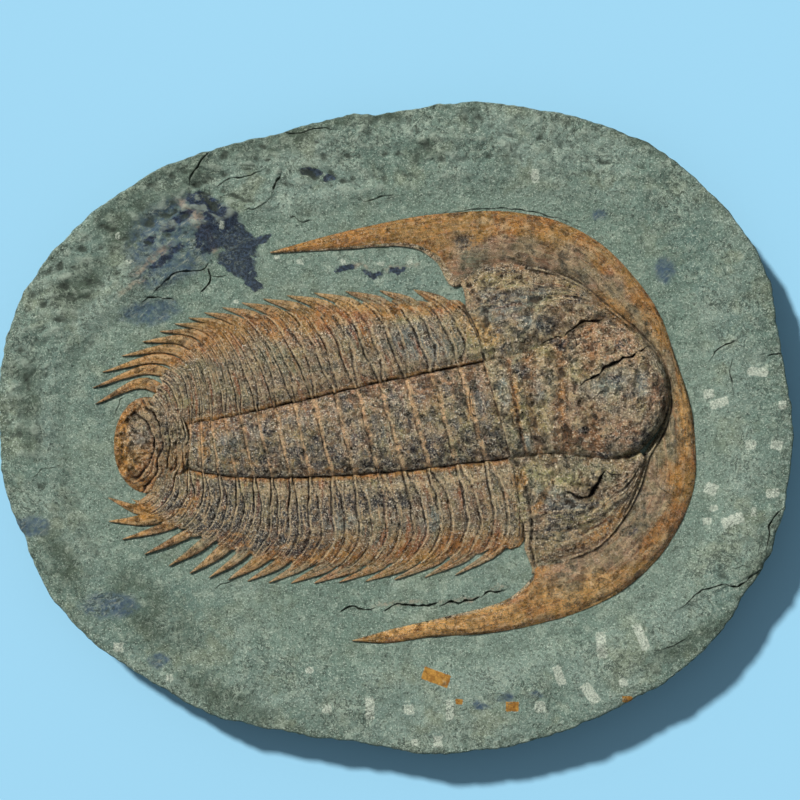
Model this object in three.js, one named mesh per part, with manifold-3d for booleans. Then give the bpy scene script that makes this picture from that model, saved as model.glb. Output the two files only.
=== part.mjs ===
// A large fossil trilobite lying in a trimmed slab of grey-green shale.
// Millimetres. The head points to +X, the fossil face looks to +Z, and the flat back lies on z = 0.
// The origin is the middle of the slab's box, on its back. Its left side is towards +Y.
import * as THREE from 'three';
import { mergeVertices } from 'three/addons/utils/BufferGeometryUtils.js';
import Module from 'manifold-3d';

const wasm = await Module();
wasm.setup();

// Slab
const SLAB_LENGTH = 398;
const SLAB_WIDTH = 327;
const FACE_Z = 24;
const MATRIX_RISE = 3.2;
const RIM_DROP = 4;
const BACK_INSET = 9;
const SLAB_STEPS = 108;
const OUTLINE_CHIP = 0.55;
const FACE_CHIP = 0.8;

// Fossil: it lies a hair above the cleaned face of the slab
const FOSSIL_BASE = FACE_Z + 0.3;
const SEGMENTS = 17;
const RINGS_PER_SEGMENT = 4;
const AXIS_RISE = 9.5;
const PLEURA_RISE = 6;
const SPINE_RISE = 3;
const BORDER_RISE = 4.6;
const CHEEK_RISE = 6.5;
const GLABELLA_RISE = 14.5;
const EYE_RISE = 9.4;
const REAR_BAND_RISE = 6.8;
const TAIL_RISE = 5.6;
const SMOOTHING = 0.12;
const WELD = 0.001;

// Outline of the slab, from the left end round over the top edge
const SLAB_OUTLINE = [
  [-199, -1], [-198, 34], [-188, 66], [-164, 97], [-133, 122], [-103, 136], [-65, 147], [-26, 156],
  [2, 159], [40, 163], [85, 157], [124, 144], [148, 127], [171, 103], [187, 75], [193, 42],
  [199, 4], [197, -30], [189, -59], [176, -82], [160, -105], [136, -127], [99, -146], [59, -159],
  [17, -163], [-22, -157], [-57, -152], [-94, -143], [-127, -125], [-150, -109], [-173, -85],
  [-189, -51], [-197, -26],
];

// Edge of the cleaned hollow around the fossil, the same way round
const HOLLOW_OUTLINE = [
  [-166, 4], [-156, 38], [-128, 58], [-96, 74], [-80, 98], [-28, 108], [30, 117], [80, 114],
  [120, 96], [146, 60], [158, 12], [159, -34], [142, -72], [106, -98], [52, -112], [-20, -116],
  [-60, -102], [-110, -86], [-150, -62],
];

// Guide lines of the thorax: [segment boundary, x, y], boundary 0 at the head and 17 at the tail
const LEFT_GUIDES = [
  [[0, 44, 33], [4, -8.5, 22.5], [8, -51.5, 12.5], [12, -86, 5], [15, -103, 2], [17, -113.5, -2.5]],
  [[0, 41, 45], [4, -15, 36.5], [8, -57.5, 28], [12, -88, 20], [15, -103.5, 16], [17, -115, 8]],
  [[0, 35, 57], [4, -20.5, 50.5], [8, -65, 42.5], [12, -94, 37], [15, -109, 28], [17, -121, 16]],
  [[0, 28, 63.5], [4, -29, 61], [8, -75, 54], [12, -103, 45.5], [15, -123, 32], [17, -131, 18.5]],
  [[0, 17, 69.5], [4, -48, 67], [8, -91.5, 59], [12, -122, 46], [15, -150, 24], [17, -149.5, 8]],
];
const RIGHT_GUIDES = [
  [[0, 57.5, -15], [4, 3, -21.5], [8, -43, -24.5], [12, -80, -24.5], [15, -104, -20.5], [17, -115.5, -17]],
  [[0, 60.5, -31], [4, 7, -38.5], [8, -43.5, -40], [12, -79.5, -38.5], [15, -104.5, -33.5], [17, -117, -27]],
  [[0, 62.5, -46], [4, 8, -53.5], [8, -43.5, -55], [12, -84, -52], [15, -112, -44.5], [17, -121.5, -34.5]],
  [[0, 58, -59.5], [4, -0.5, -67], [8, -51.5, -67], [12, -94.5, -62], [15, -124, -48.5], [17, -129.5, -38]],
  [[0, 37, -73], [4, -22, -77], [8, -69, -77], [12, -108, -71], [15, -141, -51.5], [17, -144, -29]],
];
// How far out each guide line lies: axial furrow, ridge, bend, margin and spine tip
const GUIDE_REACH = [0, 0.26, 0.52, 0.74, 1];

// Brim of the head from the left spine's tip round to the right one: [outer x, y, inner x, y]
const BORDER = [
  [-63, 88, -62.5, 87.3], [-28.5, 97.5, -30, 89.5], [6.5, 105, 4.5, 91.5], [27, 107.5, 20, 85],
  [47, 108.5, 30, 73], [62, 107.5, 47, 80.5], [82, 103, 69.5, 79], [102.5, 92, 89.5, 72],
  [119.5, 75, 104.5, 60.5], [132, 56.5, 120, 47.5], [140, 34, 132, 34], [147, 12, 136.5, 15],
  [149.5, -6, 133.5, 0], [149.5, -26, 125.5, -14.5], [144.5, -43, 121, -29.5], [132, -64, 113, -44.5],
  [112, -82, 100.5, -58.5], [88.5, -93, 84.5, -65], [70.5, -98, 70.5, -67.5], [59.5, -100.5, 68.5, -75],
  [42, -103, 53, -87.5], [17, -104.5, 22, -95.5], [-3.5, -107.5, -2, -101], [-22, -106.5, -21.5, -106],
];
// Cheeks from the rear margin forwards: [furrow of the brim x, y, furrow of the glabella x, y]
const LEFT_CHEEK = [
  [31, 73, 45, 34], [40, 78.5, 57, 36.5], [51.5, 81, 67, 38.5], [64.5, 80, 77.5, 43],
  [78.5, 76, 89, 48.5], [92, 70.5, 102, 53.5], [104.5, 60.5, 112, 52.5], [116, 50.5, 122, 46.5],
];
const RIGHT_CHEEK = [
  [66.5, -67.5, 57.5, -15.5], [75, -66, 66, -14.5], [88.5, -64.5, 79.5, -13.5], [102, -57.5, 92, -14.5],
  [113.5, -44, 104.5, -15.5], [120.5, -29.5, 115, -14.5], [125, -16, 122, -12],
];
// Raised band along the head's rear margin, from the glabella outwards: [rear x, y, front x, y]
const LEFT_REAR_BAND = [[46, 34, 53, 35], [42, 48, 49, 50], [36.5, 57.5, 42, 61], [31, 66, 36, 72]];
const RIGHT_REAR_BAND = [
  [58.5, -16, 65, -16], [61, -31, 68, -33], [62.5, -48.5, 72, -50], [66, -64, 77, -62],
];
// Middle lobe of the head from its rear ring forwards: [left x, y, right x, y]
const GLABELLA = [
  [44, 33, 57.5, -15], [54.5, 35.5, 64, -14], [62, 37.5, 69, -13.5], [77.5, 43, 81.5, -13],
  [89, 48.5, 93, -14.5], [102, 53.5, 106.5, -15.5], [117, 50.5, 117, -13.5], [127, 41, 126, -6.5],
  [133, 32, 132.5, 2], [136.5, 22.5, 136.5, 11.5],
];
// Cross furrows of the middle lobe: [place along it, half width, depth, how much runs over the top]
const CROSS_FURROWS = [[0.115, 0.022, 0.38, 1], [0.245, 0.03, 0.32, 0.5], [0.375, 0.032, 0.3, 0.4]];
// Eye lobes, each a crescent from its rear end forwards: [outer x, y, inner x, y]
const LEFT_EYE = [
  [66, 47, 71, 46.5], [66.5, 58, 71.5, 53.5], [74.5, 61, 76, 55], [82, 57.5, 80, 52.5], [88, 51.5, 83, 48],
];
const RIGHT_EYE = [
  [81, -31, 85.5, -25], [89.5, -34, 91, -27], [96, -33.5, 95, -26.5], [101.5, -28.5, 98, -23.5],
  [105.5, -20.5, 100.5, -18.5],
];
const TAIL = { x: -124.5, y: -8.5, halfLength: 16.5, halfWidth: 24, steps: 8 };

// A value from 0 to 1 that eases in between two limits
function ease(low, high, value) {
  return THREE.MathUtils.smoothstep(value, low, high);
}

// A smooth bump of height 1 at a place, and almost nothing beyond its half width
function bump(value, place, halfWidth) {
  return Math.exp(-(((value - place) / halfWidth) ** 2));
}

// A smooth curve through knots of the form [place, number, number, ...], read at one place
function curveAt(knots, place) {
  let k = 0;
  while (k < knots.length - 2 && place > knots[k + 1][0]) {
    k += 1;
  }
  const before = knots[Math.max(k - 1, 0)];
  const start = knots[k];
  const end = knots[k + 1];
  const after = knots[Math.min(k + 2, knots.length - 1)];
  const span = end[0] - start[0];
  const u = (place - start[0]) / span;
  return start.slice(1).map((value, index) => {
    const n = index + 1;
    const startSlope = (end[n] - before[n]) / (end[0] - before[0]);
    const endSlope = (after[n] - start[n]) / (after[0] - start[0]);
    const pull = (2 * u ** 3 - 3 * u ** 2 + 1) * value + (3 * u ** 2 - 2 * u ** 3) * end[n];
    return pull + span * ((u ** 3 - 2 * u ** 2 + u) * startSlope + (u ** 3 - u ** 2) * endSlope);
  });
}

// The same, for rows that stand at equal steps from 0 to 1
function rowAt(rows, place) {
  const knots = rows.map((row, index) => [index / (rows.length - 1), ...row]);
  return curveAt(knots, place);
}

// A closed solid from a grid of top points, each above the same point of a flat underside
function solidUnder(rows) {
  const width = rows[0].length;
  const top = rows.flat();
  const count = top.length;
  const points = top.concat(top.map(([x, y]) => [x, y, FOSSIL_BASE]));
  const faces = [];
  const quad = (a, b, c, d) => faces.push([a, b, c], [a, c, d]);
  for (let r = 0; r < rows.length - 1; r += 1) {
    for (let c = 0; c < width - 1; c += 1) {
      const a = r * width + c;
      quad(a, a + 1, a + width + 1, a + width);
      quad(count + a, count + a + width, count + a + width + 1, count + a + 1);
    }
    const first = r * width;
    const last = first + width - 1;
    quad(first, first + width, count + first + width, count + first);
    quad(last + width, last, count + last, count + last + width);
  }
  for (let c = 0; c < width - 1; c += 1) {
    const end = (rows.length - 1) * width + c;
    quad(c + 1, c, count + c, count + c + 1);
    quad(end, end + 1, count + end + 1, count + end);
  }
  // The first top quad tells which way round the grid runs
  const [ax, ay] = top[0];
  const [bx, by] = top[width + 1];
  const [cx, cy] = top[1];
  const [dx, dy] = top[width];
  const planArea = (bx - ax) * (dy - cy) - (dx - cx) * (by - ay);
  const outward = planArea > 0 ? faces : faces.map(([a, b, c]) => [a, c, b]);
  return toManifold(points, outward);
}

function toManifold(points, faces) {
  const vertProperties = Float32Array.from(points.flat());
  const triVerts = Uint32Array.from(faces.flat());
  return new wasm.Manifold(new wasm.Mesh({ numProp: 3, vertProperties, triVerts }));
}

// A solid between two edges: heightAt(along, across) gives its rise above the fossil's base
function bandBetween(edges, steps, acrossPlaces, heightAt) {
  const rows = [];
  for (let r = 0; r <= steps; r += 1) {
    const along = r / steps;
    const [ax, ay, bx, by] = rowAt(edges, along);
    rows.push(acrossPlaces.map((w) => {
      const rise = Math.max(heightAt(along, w), 0.4);
      return [ax + (bx - ax) * w, ay + (by - ay) * w, FOSSIL_BASE + rise];
    }));
  }
  return solidUnder(rows);
}

// Where a place of the thorax lies: segment boundary i, and reach s from the axis to a spine tip
function thoraxPoint(guides, i, s) {
  const knots = guides.map((guide, g) => [GUIDE_REACH[g], ...curveAt(guide, i)]);
  return curveAt(knots, s);
}

// How the thorax fades in height and size towards the tail
function towardsTail(i) {
  return 1 - 0.42 * ease(6, SEGMENTS, i);
}

// Rise of a rib: two ridges with a furrow between them, and a groove at each segment boundary
function pleuraRise(i, s) {
  const within = i - Math.floor(i);
  const furrowPlace = 0.4 + 0.16 * s;
  const groove = bump(within, 0, 0.13) + bump(within, 1, 0.13);
  const relief = 1 - 0.4 * groove - 0.26 * bump(within, furrowPlace, 0.12);
  const arch = 0.5 + 0.5 * ease(0, 0.16, s) - 0.5 * ease(0.4, 0.8, s);
  return PLEURA_RISE * arch * relief * towardsTail(i);
}

// Rise of the axis: each ring climbs to its rear edge, and the whole is a rounded arch
function axisRise(i, w) {
  const within = i - Math.floor(i);
  const ring = 0.86 + 0.14 * ease(0.1, 0.7, within) - 0.18 * bump(within, 0, 0.12);
  const arch = Math.sqrt(Math.max(1 - (2 * w - 1) ** 2, 0));
  return (2 + (AXIS_RISE - 2) * arch * ring) * towardsTail(i);
}

// The ribs and rings of the thorax out to its margin, as one sheet of relief
function thoraxPlate() {
  const ribPlaces = [0.76, 0.58, 0.4, 0.22, 0.08, 0];
  const axisPlaces = [0.12, 0.3, 0.5, 0.7, 0.88];
  const rows = [];
  const rowCount = SEGMENTS * RINGS_PER_SEGMENT;
  for (let r = -1; r <= rowCount; r += 1) {
    const i = r / RINGS_PER_SEGMENT;
    const underHead = r < 0 ? 0.4 : 1;
    const rib = (guides, s) => {
      const [x, y] = thoraxPoint(guides, i, s);
      return [x, y, FOSSIL_BASE + underHead * pleuraRise(i, s)];
    };
    const [leftX, leftY] = thoraxPoint(LEFT_GUIDES, i, 0);
    const [rightX, rightY] = thoraxPoint(RIGHT_GUIDES, i, 0);
    const axis = axisPlaces.map((w) => {
      const x = leftX + (rightX - leftX) * w;
      const y = leftY + (rightY - leftY) * w;
      return [x, y, FOSSIL_BASE + underHead * axisRise(i, w)];
    });
    const left = ribPlaces.map((s) => rib(LEFT_GUIDES, s));
    const right = ribPlaces.map((s) => rib(RIGHT_GUIDES, s)).reverse();
    rows.push([...left, ...axis, ...right]);
  }
  return solidUnder(rows);
}

// One free spine, from inside the margin out to its tip
function ribSpine(guides, segment) {
  const start = 0.52;
  const steps = 4;
  const rows = [];
  for (let r = 0; r <= steps; r += 1) {
    const u = r / steps;
    const s = start + (1 - start) * u;
    const halfWidth = 0.5 * (1 - u ** 1.6) + 0.03;
    const rise = SPINE_RISE * (1 - 0.7 * u) * towardsTail(segment);
    // Two edges and the crest between them: [place across the spine, share of its rise]
    rows.push([[-1, 0.45], [0.1, 1], [1, 0.45]].map(([side, share]) => {
      const [x, y] = thoraxPoint(guides, segment + 0.5 + side * halfWidth, s);
      return [x, y, FOSSIL_BASE + rise * share];
    }));
  }
  return solidUnder(rows);
}

// The tail shield: a rounded plate with the end of the axis on it
function tailShield() {
  const rows = [];
  const acrossPlaces = [0, 0.12, 0.3, 0.42, 0.5, 0.58, 0.7, 0.88, 1];
  for (let r = 0; r <= TAIL.steps; r += 1) {
    const angle = Math.PI * (0.04 + 0.92 * (r / TAIL.steps));
    const x = TAIL.x - TAIL.halfLength * Math.cos(angle);
    const half = TAIL.halfWidth * Math.sin(angle);
    rows.push(acrossPlaces.map((w) => {
      const y = TAIL.y + half * (1 - 2 * w);
      const away = Math.hypot((x - TAIL.x) / TAIL.halfLength, (y - TAIL.y) / TAIL.halfWidth);
      const axisEnd = bump(x, TAIL.x + 7, 9) * bump(y, TAIL.y, 10);
      const rise = TAIL_RISE * (0.62 * Math.sqrt(Math.max(1 - away ** 2, 0)) + 0.38 * axisEnd);
      return [x, y, FOSSIL_BASE + 0.8 + rise];
    }));
  }
  return solidUnder(rows);
}

function headBorder() {
  const acrossPlaces = [0, 0.1, 0.32, 0.62, 0.88, 1.08];
  const heights = [[0, 0.3], [0.1, 0.72], [0.32, 1], [0.62, 0.94], [0.88, 0.66], [1.08, 0.3]];
  return bandBetween(BORDER, 46, acrossPlaces, (along, w) => {
    const spine = ease(0, 0.22, along) * ease(0, 0.22, 1 - along);
    const [profile] = curveAt(heights, w);
    return BORDER_RISE * profile * (0.3 + 0.7 * spine);
  });
}

function cheek(edges) {
  return bandBetween(edges, 12, [-0.06, 0.08, 0.3, 0.52, 0.74, 0.92, 1.1], (along, w) => {
    const dome = Math.sin(Math.PI * THREE.MathUtils.clamp(0.1 + 0.8 * w, 0, 1));
    const ends = 0.62 + 0.38 * Math.sin(Math.PI * (0.12 + 0.76 * along));
    return CHEEK_RISE * (0.22 + 0.78 * dome) * ends;
  });
}

function rearBand(edges) {
  return bandBetween(edges, 5, [0, 0.3, 0.7, 1], (along, w) => {
    return REAR_BAND_RISE * (0.5 + 0.5 * Math.sin(Math.PI * (0.15 + 0.7 * w))) * (1 - 0.3 * along);
  });
}

function glabella() {
  const acrossPlaces = [-0.02, 0.06, 0.2, 0.36, 0.5, 0.64, 0.8, 0.94, 1.02];
  return bandBetween(GLABELLA, 26, acrossPlaces, (along, w) => {
    const offCentre = Math.min(Math.abs(2 * w - 1), 1);
    const arch = Math.sqrt(1 - offCentre ** 2.4);
    const rear = 0.7 + 0.3 * ease(0.1, 0.6, along);
    const front = Math.sqrt(Math.max(1 - ease(0.74, 1.02, along) ** 2, 0));
    let furrows = 0;
    CROSS_FURROWS.forEach(([place, halfWidth, depth, overTop]) => {
      const run = overTop + (1 - overTop) * ease(0.2, 0.6, offCentre);
      furrows += depth * run * bump(along, place, halfWidth);
    });
    return 2 + (GLABELLA_RISE - 2) * arch * rear * front * (1 - furrows);
  });
}

function eyeLobe(edges) {
  return bandBetween(edges, 8, [0, 0.25, 0.65, 1], (along, w) => {
    const crest = 0.62 + 0.38 * Math.sin(Math.PI * (0.1 + 0.7 * w));
    const ends = 0.7 + 0.3 * Math.sin(Math.PI * along);
    return EYE_RISE * crest * ends;
  });
}

// The whole animal as one stone piece: head, thorax, spines and tail grown together
function trilobiteSolid() {
  const pieces = [
    headBorder(), cheek(LEFT_CHEEK), cheek(RIGHT_CHEEK), rearBand(LEFT_REAR_BAND),
    rearBand(RIGHT_REAR_BAND), glabella(), eyeLobe(LEFT_EYE), eyeLobe(RIGHT_EYE),
    thoraxPlate(), tailShield(),
  ];
  for (let segment = 0; segment < SEGMENTS; segment += 1) {
    pieces.push(ribSpine(LEFT_GUIDES, segment));
    pieces.push(ribSpine(RIGHT_GUIDES, segment));
  }
  return keepOutside(welded(wasm.Manifold.union(pieces).simplify(SMOOTHING)));
}

// The same solid with points that lie on each other joined
function welded(solid) {
  const { vertProperties, triVerts } = solid.getMesh();
  const geometry = new THREE.BufferGeometry();
  geometry.setAttribute('position', new THREE.BufferAttribute(vertProperties, 3));
  geometry.setIndex(new THREE.BufferAttribute(triVerts, 1));
  const merged = mergeVertices(geometry, WELD);
  return new wasm.Manifold(new wasm.Mesh({
    numProp: 3,
    vertProperties: merged.attributes.position.array,
    triVerts: Uint32Array.from(merged.index.array),
  }));
}

// The outer skin alone, so that no pocket stays sealed between forms that have grown together
function keepOutside(solid) {
  const skins = solid.decompose();
  return skins.reduce((best, skin) => (skin.volume() > best.volume() ? skin : best));
}

// A closed smooth loop through points, read at one place from 0 to 1
function loopAt(points, place) {
  const count = points.length;
  const knots = [];
  for (let k = -2; k <= count + 2; k += 1) {
    knots.push([k / count, ...points[(k + count) % count]]);
  }
  return curveAt(knots, place);
}

// Where the ray from the origin at an angle meets a loop, as a distance
function reachAt(loop, angle) {
  for (let k = 0; k < loop.length; k += 1) {
    const [ax, ay] = loop[k];
    const [bx, by] = loop[(k + 1) % loop.length];
    const dx = Math.cos(angle);
    const dy = Math.sin(angle);
    const cross = dx * (by - ay) - dy * (bx - ax);
    const u = (dy * ax - dx * ay) / cross;
    const reach = dx * (ax + (bx - ax) * u) + dy * (ay + (by - ay) * u);
    if (u >= 0 && u < 1 && reach > 0) {
      return reach;
    }
  }
  return 0;
}

// Uneven broken stone, from three crossing ripples, between about -1 and 1
function brokenStone(x, y) {
  const broad = Math.sin(0.061 * x + 1.7) * Math.cos(0.073 * y - 0.6);
  const middle = Math.sin(0.17 * x - 0.11 * y + 0.9);
  const fine = Math.sin(0.37 * x + 0.41 * y);
  return 0.5 * broad + 0.3 * middle + 0.2 * fine;
}

// Points of the slab's outline at equal angles, chipped and then fitted to the slab's size
function slabRim() {
  const smooth = [];
  for (let k = 0; k < 4 * SLAB_STEPS; k += 1) {
    smooth.push(loopAt(SLAB_OUTLINE, k / (4 * SLAB_STEPS)));
  }
  const rim = [];
  for (let k = 0; k < SLAB_STEPS; k += 1) {
    const angle = (2 * Math.PI * k) / SLAB_STEPS;
    const chip = OUTLINE_CHIP * (Math.sin(k * 0.83) + 0.7 * Math.sin(k * 1.9 + 1) + 0.5 * Math.sin(k * 2.9));
    const reach = reachAt(smooth, angle) + chip;
    rim.push([reach * Math.cos(angle), reach * Math.sin(angle)]);
  }
  const box = new THREE.Box2().setFromPoints(rim.map(([x, y]) => new THREE.Vector2(x, y)));
  const middle = box.getCenter(new THREE.Vector2());
  const size = box.getSize(new THREE.Vector2());
  return rim.map(([x, y]) => {
    return [((x - middle.x) * SLAB_LENGTH) / size.x, ((y - middle.y) * SLAB_WIDTH) / size.y];
  });
}

// Flaked steps in the matrix, over the left half of the upper edge
function ledge(x, y) {
  const first = ease(92, 97, y + 0.22 * x + 3 * Math.sin(0.13 * x));
  const second = ease(118, 122, y - 0.1 * x + 4 * Math.sin(0.09 * x));
  const stretch = ease(-140, -95, x) * (1 - ease(0, 30, x));
  return (1.6 * first + 1.8 * second) * stretch;
}

function slabSolid() {
  const rim = slabRim();
  const hollow = [];
  for (let k = 0; k < SLAB_STEPS; k += 1) {
    hollow.push(loopAt(HOLLOW_OUTLINE, k / SLAB_STEPS));
  }
  // Rings of the face: [place from hollow to rim, rise of the matrix, how rough]
  const faceRings = [[0, 0, 0], [0.2, 0.7, 0.4], [0.45, 1, 1], [0.7, 0.95, 1], [0.9, 0.6, 1]];
  // Rings of the side: [how far in from the rim, height as a share of the face's height]
  const sideRings = [[0, (FACE_Z - RIM_DROP) / FACE_Z], [1.2, 0.55], [4.5, 0.25], [BACK_INSET, 0]];
  const rings = faceRings.map(([place, rise, rough]) => rim.map(([x, y]) => {
    const angle = Math.atan2(y, x);
    const outer = Math.hypot(x, y);
    const inner = reachAt(hollow, angle);
    const reach = inner + (outer - inner) * place;
    const px = reach * Math.cos(angle);
    const py = reach * Math.sin(angle);
    const z = FACE_Z + MATRIX_RISE * rise + rough * (FACE_CHIP * brokenStone(px, py) - ledge(px, py));
    return [px, py, z];
  }));
  sideRings.forEach(([inset, share], level) => rings.push(rim.map(([x, y], k) => {
    const rough = level > 0 && level < 3 ? 1.5 * Math.sin(k * 1.9 + level) : 0;
    const keep = 1 - (inset + Math.max(rough, 0)) / Math.hypot(x, y);
    return [x * keep, y * keep, FACE_Z * share + 0.5 * rough];
  })));
  const points = [[0, 0, FACE_Z], ...rings.flat(), [0, 0, 0]];
  const bottom = points.length - 1;
  const faces = [];
  for (let k = 0; k < SLAB_STEPS; k += 1) {
    const next = (k + 1) % SLAB_STEPS;
    faces.push([0, 1 + k, 1 + next]);
    for (let r = 0; r < rings.length - 1; r += 1) {
      const a = 1 + r * SLAB_STEPS;
      const b = a + SLAB_STEPS;
      faces.push([a + k, b + k, b + next], [a + k, b + next, a + next]);
    }
    const low = 1 + (rings.length - 1) * SLAB_STEPS;
    faces.push([bottom, low + next, low + k]);
  }
  return toManifold(points, faces);
}

function toMesh(name, solid, colour, roughness) {
  const { vertProperties, triVerts } = solid.getMesh();
  const geometry = new THREE.BufferGeometry();
  geometry.setAttribute('position', new THREE.BufferAttribute(vertProperties, 3));
  geometry.setIndex(new THREE.BufferAttribute(triVerts, 1));
  geometry.computeVertexNormals();
  const material = new THREE.MeshStandardMaterial({ color: colour, roughness, metalness: 0 });
  const mesh = new THREE.Mesh(geometry, material);
  mesh.name = name;
  return mesh;
}

const fossilSlab = new THREE.Group();
fossilSlab.add(toMesh('shale_slab', slabSolid(), 0x68706a, 0.95));
fossilSlab.add(toMesh('trilobite', trilobiteSolid(), 0x95592e, 0.7));

export default fossilSlab;
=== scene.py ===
"""A large fossil trilobite in a trimmed slab of grey-green shale, lying on its flat back.

The head points to +X, the fossil face looks up, and the back lies on z = 0.
Sizes are in millimetres, and become metres where a mesh is made.
"""

import math

import bpy
import numpy as np
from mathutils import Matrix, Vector, kdtree


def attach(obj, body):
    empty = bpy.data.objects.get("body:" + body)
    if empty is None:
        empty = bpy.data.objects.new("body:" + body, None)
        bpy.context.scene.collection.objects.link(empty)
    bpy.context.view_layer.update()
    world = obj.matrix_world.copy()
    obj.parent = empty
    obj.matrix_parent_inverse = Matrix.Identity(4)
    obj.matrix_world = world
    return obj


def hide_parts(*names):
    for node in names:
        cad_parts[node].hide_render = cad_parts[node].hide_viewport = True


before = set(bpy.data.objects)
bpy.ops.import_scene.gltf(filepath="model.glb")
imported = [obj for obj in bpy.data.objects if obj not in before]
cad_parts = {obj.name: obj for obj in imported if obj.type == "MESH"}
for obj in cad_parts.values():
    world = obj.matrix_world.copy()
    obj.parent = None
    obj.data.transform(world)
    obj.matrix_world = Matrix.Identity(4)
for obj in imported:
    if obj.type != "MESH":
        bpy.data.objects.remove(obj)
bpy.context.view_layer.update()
MM = 0.001

# Camera: straight above the face, 400 mm across the view at the face's height
VIEW_CENTRE = (2, 14)
VIEW_WIDTH = 400
LENS = 135
SENSOR = 36
# Where the middle of the part lies in the 800-pixel view that cracks and spots are placed by
VIEW_ORIGIN = (396, 428)
PIXELS_PER_MM = 2

# Light: a high sun from the upper left, and a pale sky that fills the shadows
SUN_STRENGTH = 5.6
SUN_DEGREES = 5
SUN_COLOUR = (1.0, 0.985, 0.95)
SUN_TOWARDS = (0.6, -0.63, -0.84)
SKY_STRENGTH = 0.34
SKY_COLOUR = (0.86, 0.94, 1.0, 1)
FLOOR_COLOUR = (132, 179, 204)
FLOOR_HALF_WIDTH = 3000

# Slab, the same sizes as the CAD solid's
SLAB_LENGTH = 397.6
SLAB_WIDTH = 326.6
FACE_Z = 24
MATRIX_RISE = 3.2
BACK_INSET = 9
FACE_CHIP = 0.8
SLAB_ANGLES = 840
SLAB_RINGS = 96
HIDDEN_CORE = (85, 42)

# Outline of the slab, from the left end round over the top edge
SLAB_OUTLINE = [
    [-199, -1], [-198, 34], [-188, 66], [-164, 97], [-133, 122], [-103, 136], [-65, 147],
    [-26, 156], [2, 159], [40, 163], [85, 157], [124, 144], [148, 127], [171, 103], [187, 75],
    [193, 42], [199, 4], [197, -30], [189, -59], [176, -82], [160, -105], [136, -127], [99, -146],
    [59, -159], [17, -163], [-22, -157], [-57, -152], [-94, -143], [-127, -125], [-150, -109],
    [-173, -85], [-189, -51], [-197, -26],
]
# Edge of the cleaned hollow around the fossil
HOLLOW_OUTLINE = [
    [-166, 4], [-156, 38], [-128, 58], [-96, 74], [-80, 98], [-28, 108], [30, 117], [80, 114],
    [120, 96], [146, 60], [158, 12], [159, -34], [142, -72], [106, -98], [52, -112], [-20, -116],
    [-60, -102], [-110, -86], [-150, -62],
]

# Fossil, the same sizes as the CAD solid's
FOSSIL_BASE = FACE_Z + 0.3
SUNK = 1.1
SEGMENTS = 17
AXIS_RISE = 9.5
PLEURA_RISE = 6
SPINE_RISE = 2.5
SPINE_HALF_WIDTH = 3.3
BORDER_RISE = 4.6
CHEEK_RISE = 6.5
GLABELLA_RISE = 14.2
EYE_RISE = 9.4
TAIL_RISE = 5.6
# Rough lengths along the forms, for the marks that streaks follow
SEGMENT_LENGTH = 7.5
RIB_LENGTH = 58
AXIS_WIDTH = 46
BRIM_LENGTH = 560

# Guide lines of the thorax: [x, y] at these boundaries of segments, from 0 at the head to 17 at
# the tail, for the axial furrow, ridge, bend, margin and spine tips
GUIDE_BOUNDARIES = [0, 4, 8, 12, 15, 17]
LEFT_GUIDES = [
    [[44, 33], [-8.5, 22.5], [-51.5, 12.5], [-86, 5], [-103, 2], [-113.5, -2.5]],
    [[41, 45], [-15, 36.5], [-57.5, 28], [-88, 20], [-103.5, 16], [-115, 8]],
    [[35, 57], [-20.5, 50.5], [-65, 42.5], [-94, 37], [-109, 28], [-121, 16]],
    [[28, 63.5], [-29, 61], [-75, 54], [-103, 45.5], [-123, 32], [-131, 18.5]],
    [[17, 69.5], [-48, 67], [-91.5, 59], [-122, 46], [-150, 24], [-149.5, 8]],
]
RIGHT_GUIDES = [
    [[57.5, -15], [3, -21.5], [-43, -24.5], [-80, -24.5], [-104, -20.5], [-115.5, -17]],
    [[60.5, -31], [7, -38.5], [-43.5, -40], [-79.5, -38.5], [-104.5, -33.5], [-117, -27]],
    [[62.5, -46], [8, -53.5], [-43.5, -55], [-84, -52], [-112, -44.5], [-121.5, -34.5]],
    [[58, -59.5], [-0.5, -67], [-51.5, -67], [-94.5, -62], [-124, -48.5], [-129.5, -38]],
    [[37, -73], [-22, -77], [-69, -77], [-108, -71], [-141, -51.5], [-144, -29]],
]
# How far out each guide line lies, as a share of the reach to the spine tip
GUIDE_REACH = [0, 0.26, 0.52, 0.74, 1]

# Brim of the head from the left spine's tip round to the right one: [outer x, y, inner x, y]
BORDER = [
    [-63, 88, -62.5, 87.3], [-28.5, 97.5, -30, 89.5], [6.5, 105, 4.5, 91.5], [27, 107.5, 20, 85],
    [47, 108.5, 30, 73], [62, 107.5, 47, 80.5], [82, 103, 69.5, 79], [102.5, 92, 89.5, 72],
    [119.5, 75, 104.5, 60.5], [132, 56.5, 120, 47.5], [140, 34, 132, 34], [147, 12, 136.5, 15],
    [149.5, -6, 133.5, 0], [149.5, -26, 125.5, -14.5], [144.5, -43, 121, -29.5],
    [132, -64, 113, -44.5], [112, -82, 100.5, -58.5], [88.5, -93, 84.5, -65],
    [70.5, -98, 70.5, -67.5], [59.5, -100.5, 68.5, -75], [42, -103, 53, -87.5],
    [17, -104.5, 22, -95.5], [-3.5, -107.5, -2, -101], [-22, -106.5, -21.5, -106],
]
# Height across the brim, from its outer edge to its furrow: [place, share of its rise]
BORDER_PROFILE = [
    [0, 0.05], [0.04, 0.2], [0.12, 0.5], [0.35, 0.88], [0.65, 1], [0.88, 0.66], [1.08, 0.3],
]
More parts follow.
